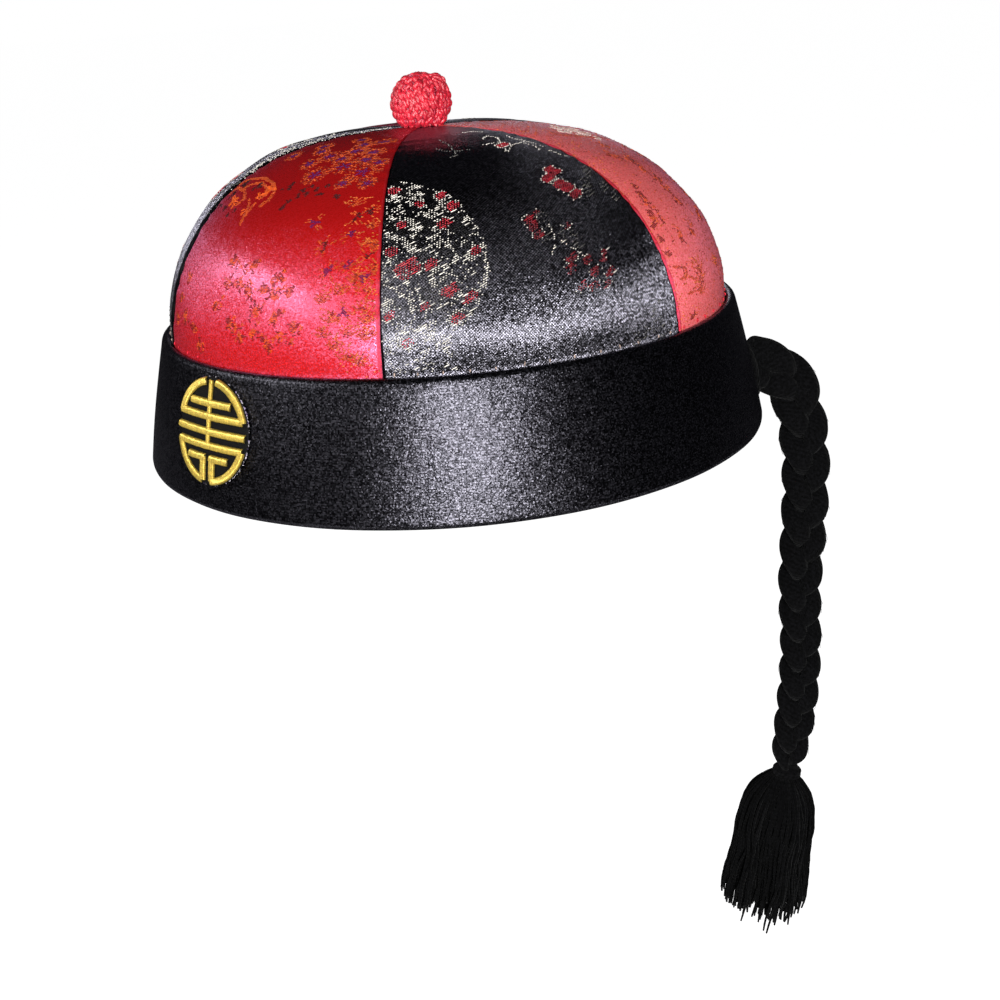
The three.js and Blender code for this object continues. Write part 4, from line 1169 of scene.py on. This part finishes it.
class ClothSettings(bpy.types.PropertyGroup):
    red: colour_prop("Red ground", "Ground of the red brocade", paint(198, 20, 15))
    black: colour_prop("Black ground", "Ground of the black brocade", paint(6, 6, 7))
    satin: colour_prop("Band satin", "Satin of the band", paint(4, 4, 6))
    badge: colour_prop("Badge cloth", "Twill under the badge's embroidery", paint(5, 5, 6))
    gold: colour_prop("Orange line", "Thread that outlines the red brocade's sprays", paint(184, 72, 26))
    orange: colour_prop("Orange fill", "Thread that fills the red brocade's leaves", paint(214, 88, 26))
    mark: colour_prop("Dark mark", "Thread of the red brocade's small dark marks", paint(112, 22, 12))
    blue: colour_prop("Violet mark", "Thread at the heart of the red brocade's flowers", paint(72, 10, 76))
    dark: colour_prop("Black mark", "Thread of the red brocade's black specks", paint(34, 8, 12))
    # Pale fill: pale threads that are a painted highlight near the top of the right red gore
    pale: colour_prop("Pale fill", "Thread of the red brocade's pale fills", paint(246, 226, 214))
    cream: colour_prop("Cream thread", "Pale thread of the black brocade and the seam stitches", paint(230, 224, 212))
    petal: colour_prop("Petal red", "Thread of the black brocade's petals", paint(190, 24, 44))
    fleck: colour_prop("Gold fleck", "Bright single threads of the red brocade", paint(200, 108, 46))


class TrimSettings(bpy.types.PropertyGroup):
    knit: colour_prop("Button yarn", "Yarn of the knitted button", paint(204, 20, 46))
    gold_light: colour_prop("Gold thread", "Thread of the badge's embroidery", paint(224, 194, 88))
    fray: colour_prop("Frayed edge", "Loose threads at the badge's cut edge", paint(190, 184, 192))
    stitch: colour_prop("Stitch thread", "Thread of the stitches above the band", paint(170, 148, 136))
    gold_thread: length_prop("Stitch pitch", "Spacing of the badge's embroidery threads", 0.00027, 0.001)
    button_yarn: length_prop("Button yarn radius", "Radius of the button's yarn", 0.0007, 0.002)
    button_courses: count_prop("Button courses", "Rows of stitches on the button", 9, 4, 14)


class YarnSettings(bpy.types.PropertyGroup):
    yarn: colour_prop("Black yarn", "Yarn of the plait and the tassel", paint(6, 6, 7))
    plait_fibres: count_prop("Plait fibres", "Loose fibres on the plait", 1500, 0, 9000)
    tassel_yarns: count_prop("Tassel yarns", "Cut yarns in the tassel", 520, 20, 600)
    tassel_yarn: length_prop("Tassel yarn radius", "Radius of one of the tassel's yarns", 0.00044, 0.002)


class StageSettings(bpy.types.PropertyGroup):
    floor: colour_prop("Floor", "Colour of the pale floor", (0.3, 0.3, 0.3))
    drop: FloatProperty(name="Floor height", description="Height of the floor", default=-0.34, unit="LENGTH")
    lens: FloatProperty(name="Lens", description="Focal length on a 36 mm sensor, in millimetres", default=49.78,
                        min=20, max=200)


# Camera, fitted to the photograph, in metres
EYE = (0.32124, -0.29248, 0.13042)
CAMERA_RIGHT = (0.7091, 0.70193, -0.06686)
CAMERA_UP = (-0.19766, 0.2889, 0.93673)
CAMERA_BACK = (0.67684, -0.65102, 0.3436)
# Lights: name, place and target in metres, width, height and power
LIGHTS = [("key", (0.845, -0.70, 0.19), (0, 0, 0.03), 0.4, 0.28, 19.0),
          ("side", (-0.50, -0.86, 0.56), (0, 0, 0.03), 1.1, 0.2, 7.5),
          ("back", (-0.62, 0.77, 0.2), (0, 0, 0.05), 0.3, 0.3, 0.4)]


def area_light(name, place, target, width, height, power):
    """A level oblong light at a place, in metres, turned to a target."""
    light = bpy.data.lights.new(name, "AREA")
    light.shape, light.size, light.size_y, light.energy = "RECTANGLE", width, height, power
    lamp = bpy.data.objects.new(name, light)
    place, target = np.array(place), np.array(target)
    back = unit(place - target)
    right = unit(np.cross([0, 0, 1.0], back))
    ways = np.stack([right, np.cross(back, right), back], axis=1)
    lamp.matrix_world = Matrix([[*ways[k], place[k]] for k in range(3)] + [[0, 0, 0, 1]])
    bpy.context.scene.collection.objects.link(lamp)
    return lamp


class HAT_OT_stage(bpy.types.Operator):
    """Adds the camera at the photograph's angle, soft lights, a pale surround and the floor"""
    bl_idname = "hat.stage"
    bl_label = "Stage and camera"

    def execute(self, context):
        settings = context.scene.hat_stage
        scene = context.scene
        data = bpy.data.cameras.new("camera")
        data.sensor_width, data.lens, data.clip_start, data.clip_end = 36, settings.lens, 0.01, 100
        camera = bpy.data.objects.new("camera", data)
        camera.matrix_world = Matrix([[CAMERA_RIGHT[k], CAMERA_UP[k], CAMERA_BACK[k], EYE[k]] for k in range(3)]
                                     + [[0, 0, 0, 1]])
        scene.collection.objects.link(camera)
        scene.camera = camera
        scene.view_settings.view_transform = "Standard"
        world = bpy.data.worlds.new("surround")
        world.use_nodes = True
        sky = Wire(world.node_tree)
        world.node_tree.nodes.clear()
        seen = sky.node("LightPath", {}, {}, 0)
        glow = seen.mix((0.022, 0.022, 0.025), (1.0, 1.0, 1.0))
        seen.node("OutputWorld", {}, {"Surface": sky.node("Background", {}, {"Color": glow})})
        scene.world = world
        for light in LIGHTS:
            area_light(*light)
        half, cells = 40.0, 9
        x, y = np.meshgrid(np.linspace(-half, half, cells), np.linspace(-half, half, cells))
        mesh = bpy.data.meshes.new("floor")
        points = np.stack([x, y, np.full_like(x, settings.drop)], axis=-1).reshape(-1, 3)
        mesh.from_pydata(points.tolist(), [], grid_faces(cells, cells).tolist())
        wire = Finish("floor")
        speckle = wire.place.scaled(0.02).noise(2.0)
        colour = speckle.above(0.3, 0.7).mix(tuple(settings.floor), tuple(c * 1.02 for c in settings.floor))
        seen = wire.place.node("LightPath", {}, {}, 0)
        glow = seen.mix((0.0, 0.0, 0.0), (1.0, 1.0, 1.0))
        mesh.materials.append(wire.surface(colour, 0.9, None, Specular_IOR_Level=0.0, Emission_Color=glow,
                                           Emission_Strength=0.99))
        floor = bpy.data.objects.new("floor", mesh)
        scene.collection.objects.link(floor)
        return {"FINISHED"}


class HAT_OT_queue(bpy.types.Operator):
    """Adds the queue: its root, the plait, the tie and the tassel"""
    bl_idname = "hat.queue"
    bl_label = "Queue and tassel"

    def execute(self, context):
        settings = context.scene.hat_yarn
        hank = make_yarn("black_yarn_hank", 0.85, 1.1, 0.06, 0.95, 1.1)
        cut = make_yarn("black_yarn_cut", 0.85, 1.5, 0.06, 0.95, 0.9)
        make_root(settings, hank)
        plait, middle = make_plait(settings, hank)
        binding = make_binding(settings, cut)
        tassel = make_tassel(settings, cut)
        return {"FINISHED"}


class HAT_OT_band(bpy.types.Operator):
    """Adds the satin band"""
    bl_idname = "hat.band"
    bl_label = "Band"

    def execute(self, context):
        shell = Shell()
        shell.add(*band_section())
        shell.piece("satin_band", make_satin(context.scene.hat_cloth), "black_satin", "band")
        return {"FINISHED"}


class HAT_OT_crown(bpy.types.Operator):
    """Adds the six brocade gores and the stitches at the band"""
    bl_idname = "hat.crown"
    bl_label = "Crown"

    def execute(self, context):
        cloth = context.scene.hat_cloth
        red = make_brocade("red_brocade", tuple(cloth.red), 0.31, None, RED_SHEEN, 1.85, 0.15)
        black = make_brocade("black_brocade", tuple(cloth.black), 0.41, tuple(cloth.cream), SHEEN_TINT, 3.55, 1.0)
        for number in range(1, GORES + 1, 2):
            make_gore(number, "red", cloth, red)
            make_gore(number + 1, "black", cloth, black)
        make_seam_stitches(context.scene.hat_trim, make_yarn("stitch_thread", 0.5, 1.0, 0.4))
        return {"FINISHED"}


class HAT_OT_button(bpy.types.Operator):
    """Adds the knitted button"""
    bl_idname = "hat.button"
    bl_label = "Button"

    def execute(self, context):
        make_button(context.scene.hat_trim, make_yarn("red_knit", 0.4, 1.3, 1.0))
        return {"FINISHED"}


class HAT_OT_badge(bpy.types.Operator):
    """Adds the badge's cloth and its gold embroidery"""
    bl_idname = "hat.badge"
    bl_label = "Badge"

    def execute(self, context):
        make_badge_ground(context.scene.hat_trim, make_badge_cloth(context.scene.hat_cloth))
        make_ornament(context.scene.hat_trim, make_gold())
        return {"FINISHED"}


OPERATORS = (HAT_OT_stage, HAT_OT_queue, HAT_OT_band, HAT_OT_crown, HAT_OT_button, HAT_OT_badge)
SETTINGS = {"hat_cloth": ClothSettings, "hat_trim": TrimSettings, "hat_yarn": YarnSettings, "hat_stage": StageSettings}


class HAT_PT_pieces(bpy.types.Panel):
    """Lists the hat's pieces and their settings"""
    bl_idname = "HAT_PT_pieces"
    bl_label = "Mandarin hat"
    bl_space_type = "VIEW_3D"
    bl_region_type = "UI"
    bl_category = "Hat"

    def draw(self, context):
        for operator in OPERATORS:
            self.layout.operator(operator.bl_idname)
        for name, group in SETTINGS.items():
            box = self.layout.box()
            for field in group.__annotations__:
                box.prop(getattr(context.scene, name), field)


def register():
    for group in (*SETTINGS.values(), *OPERATORS, HAT_PT_pieces):
        bpy.utils.register_class(group)
    for name, group in SETTINGS.items():
        setattr(bpy.types.Scene, name, PointerProperty(type=group))


def unregister():
    for name in SETTINGS:
        delattr(bpy.types.Scene, name)
    for group in (HAT_PT_pieces, *OPERATORS[::-1], *SETTINGS.values()):
        bpy.utils.unregister_class(group)


def main():
    """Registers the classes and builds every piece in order."""
    register()
    bpy.ops.hat.stage()
    bpy.ops.hat.queue()
    bpy.ops.hat.band()
    bpy.ops.hat.crown()
    bpy.ops.hat.button()
    bpy.ops.hat.badge()


if __name__ == "__main__":
    main()
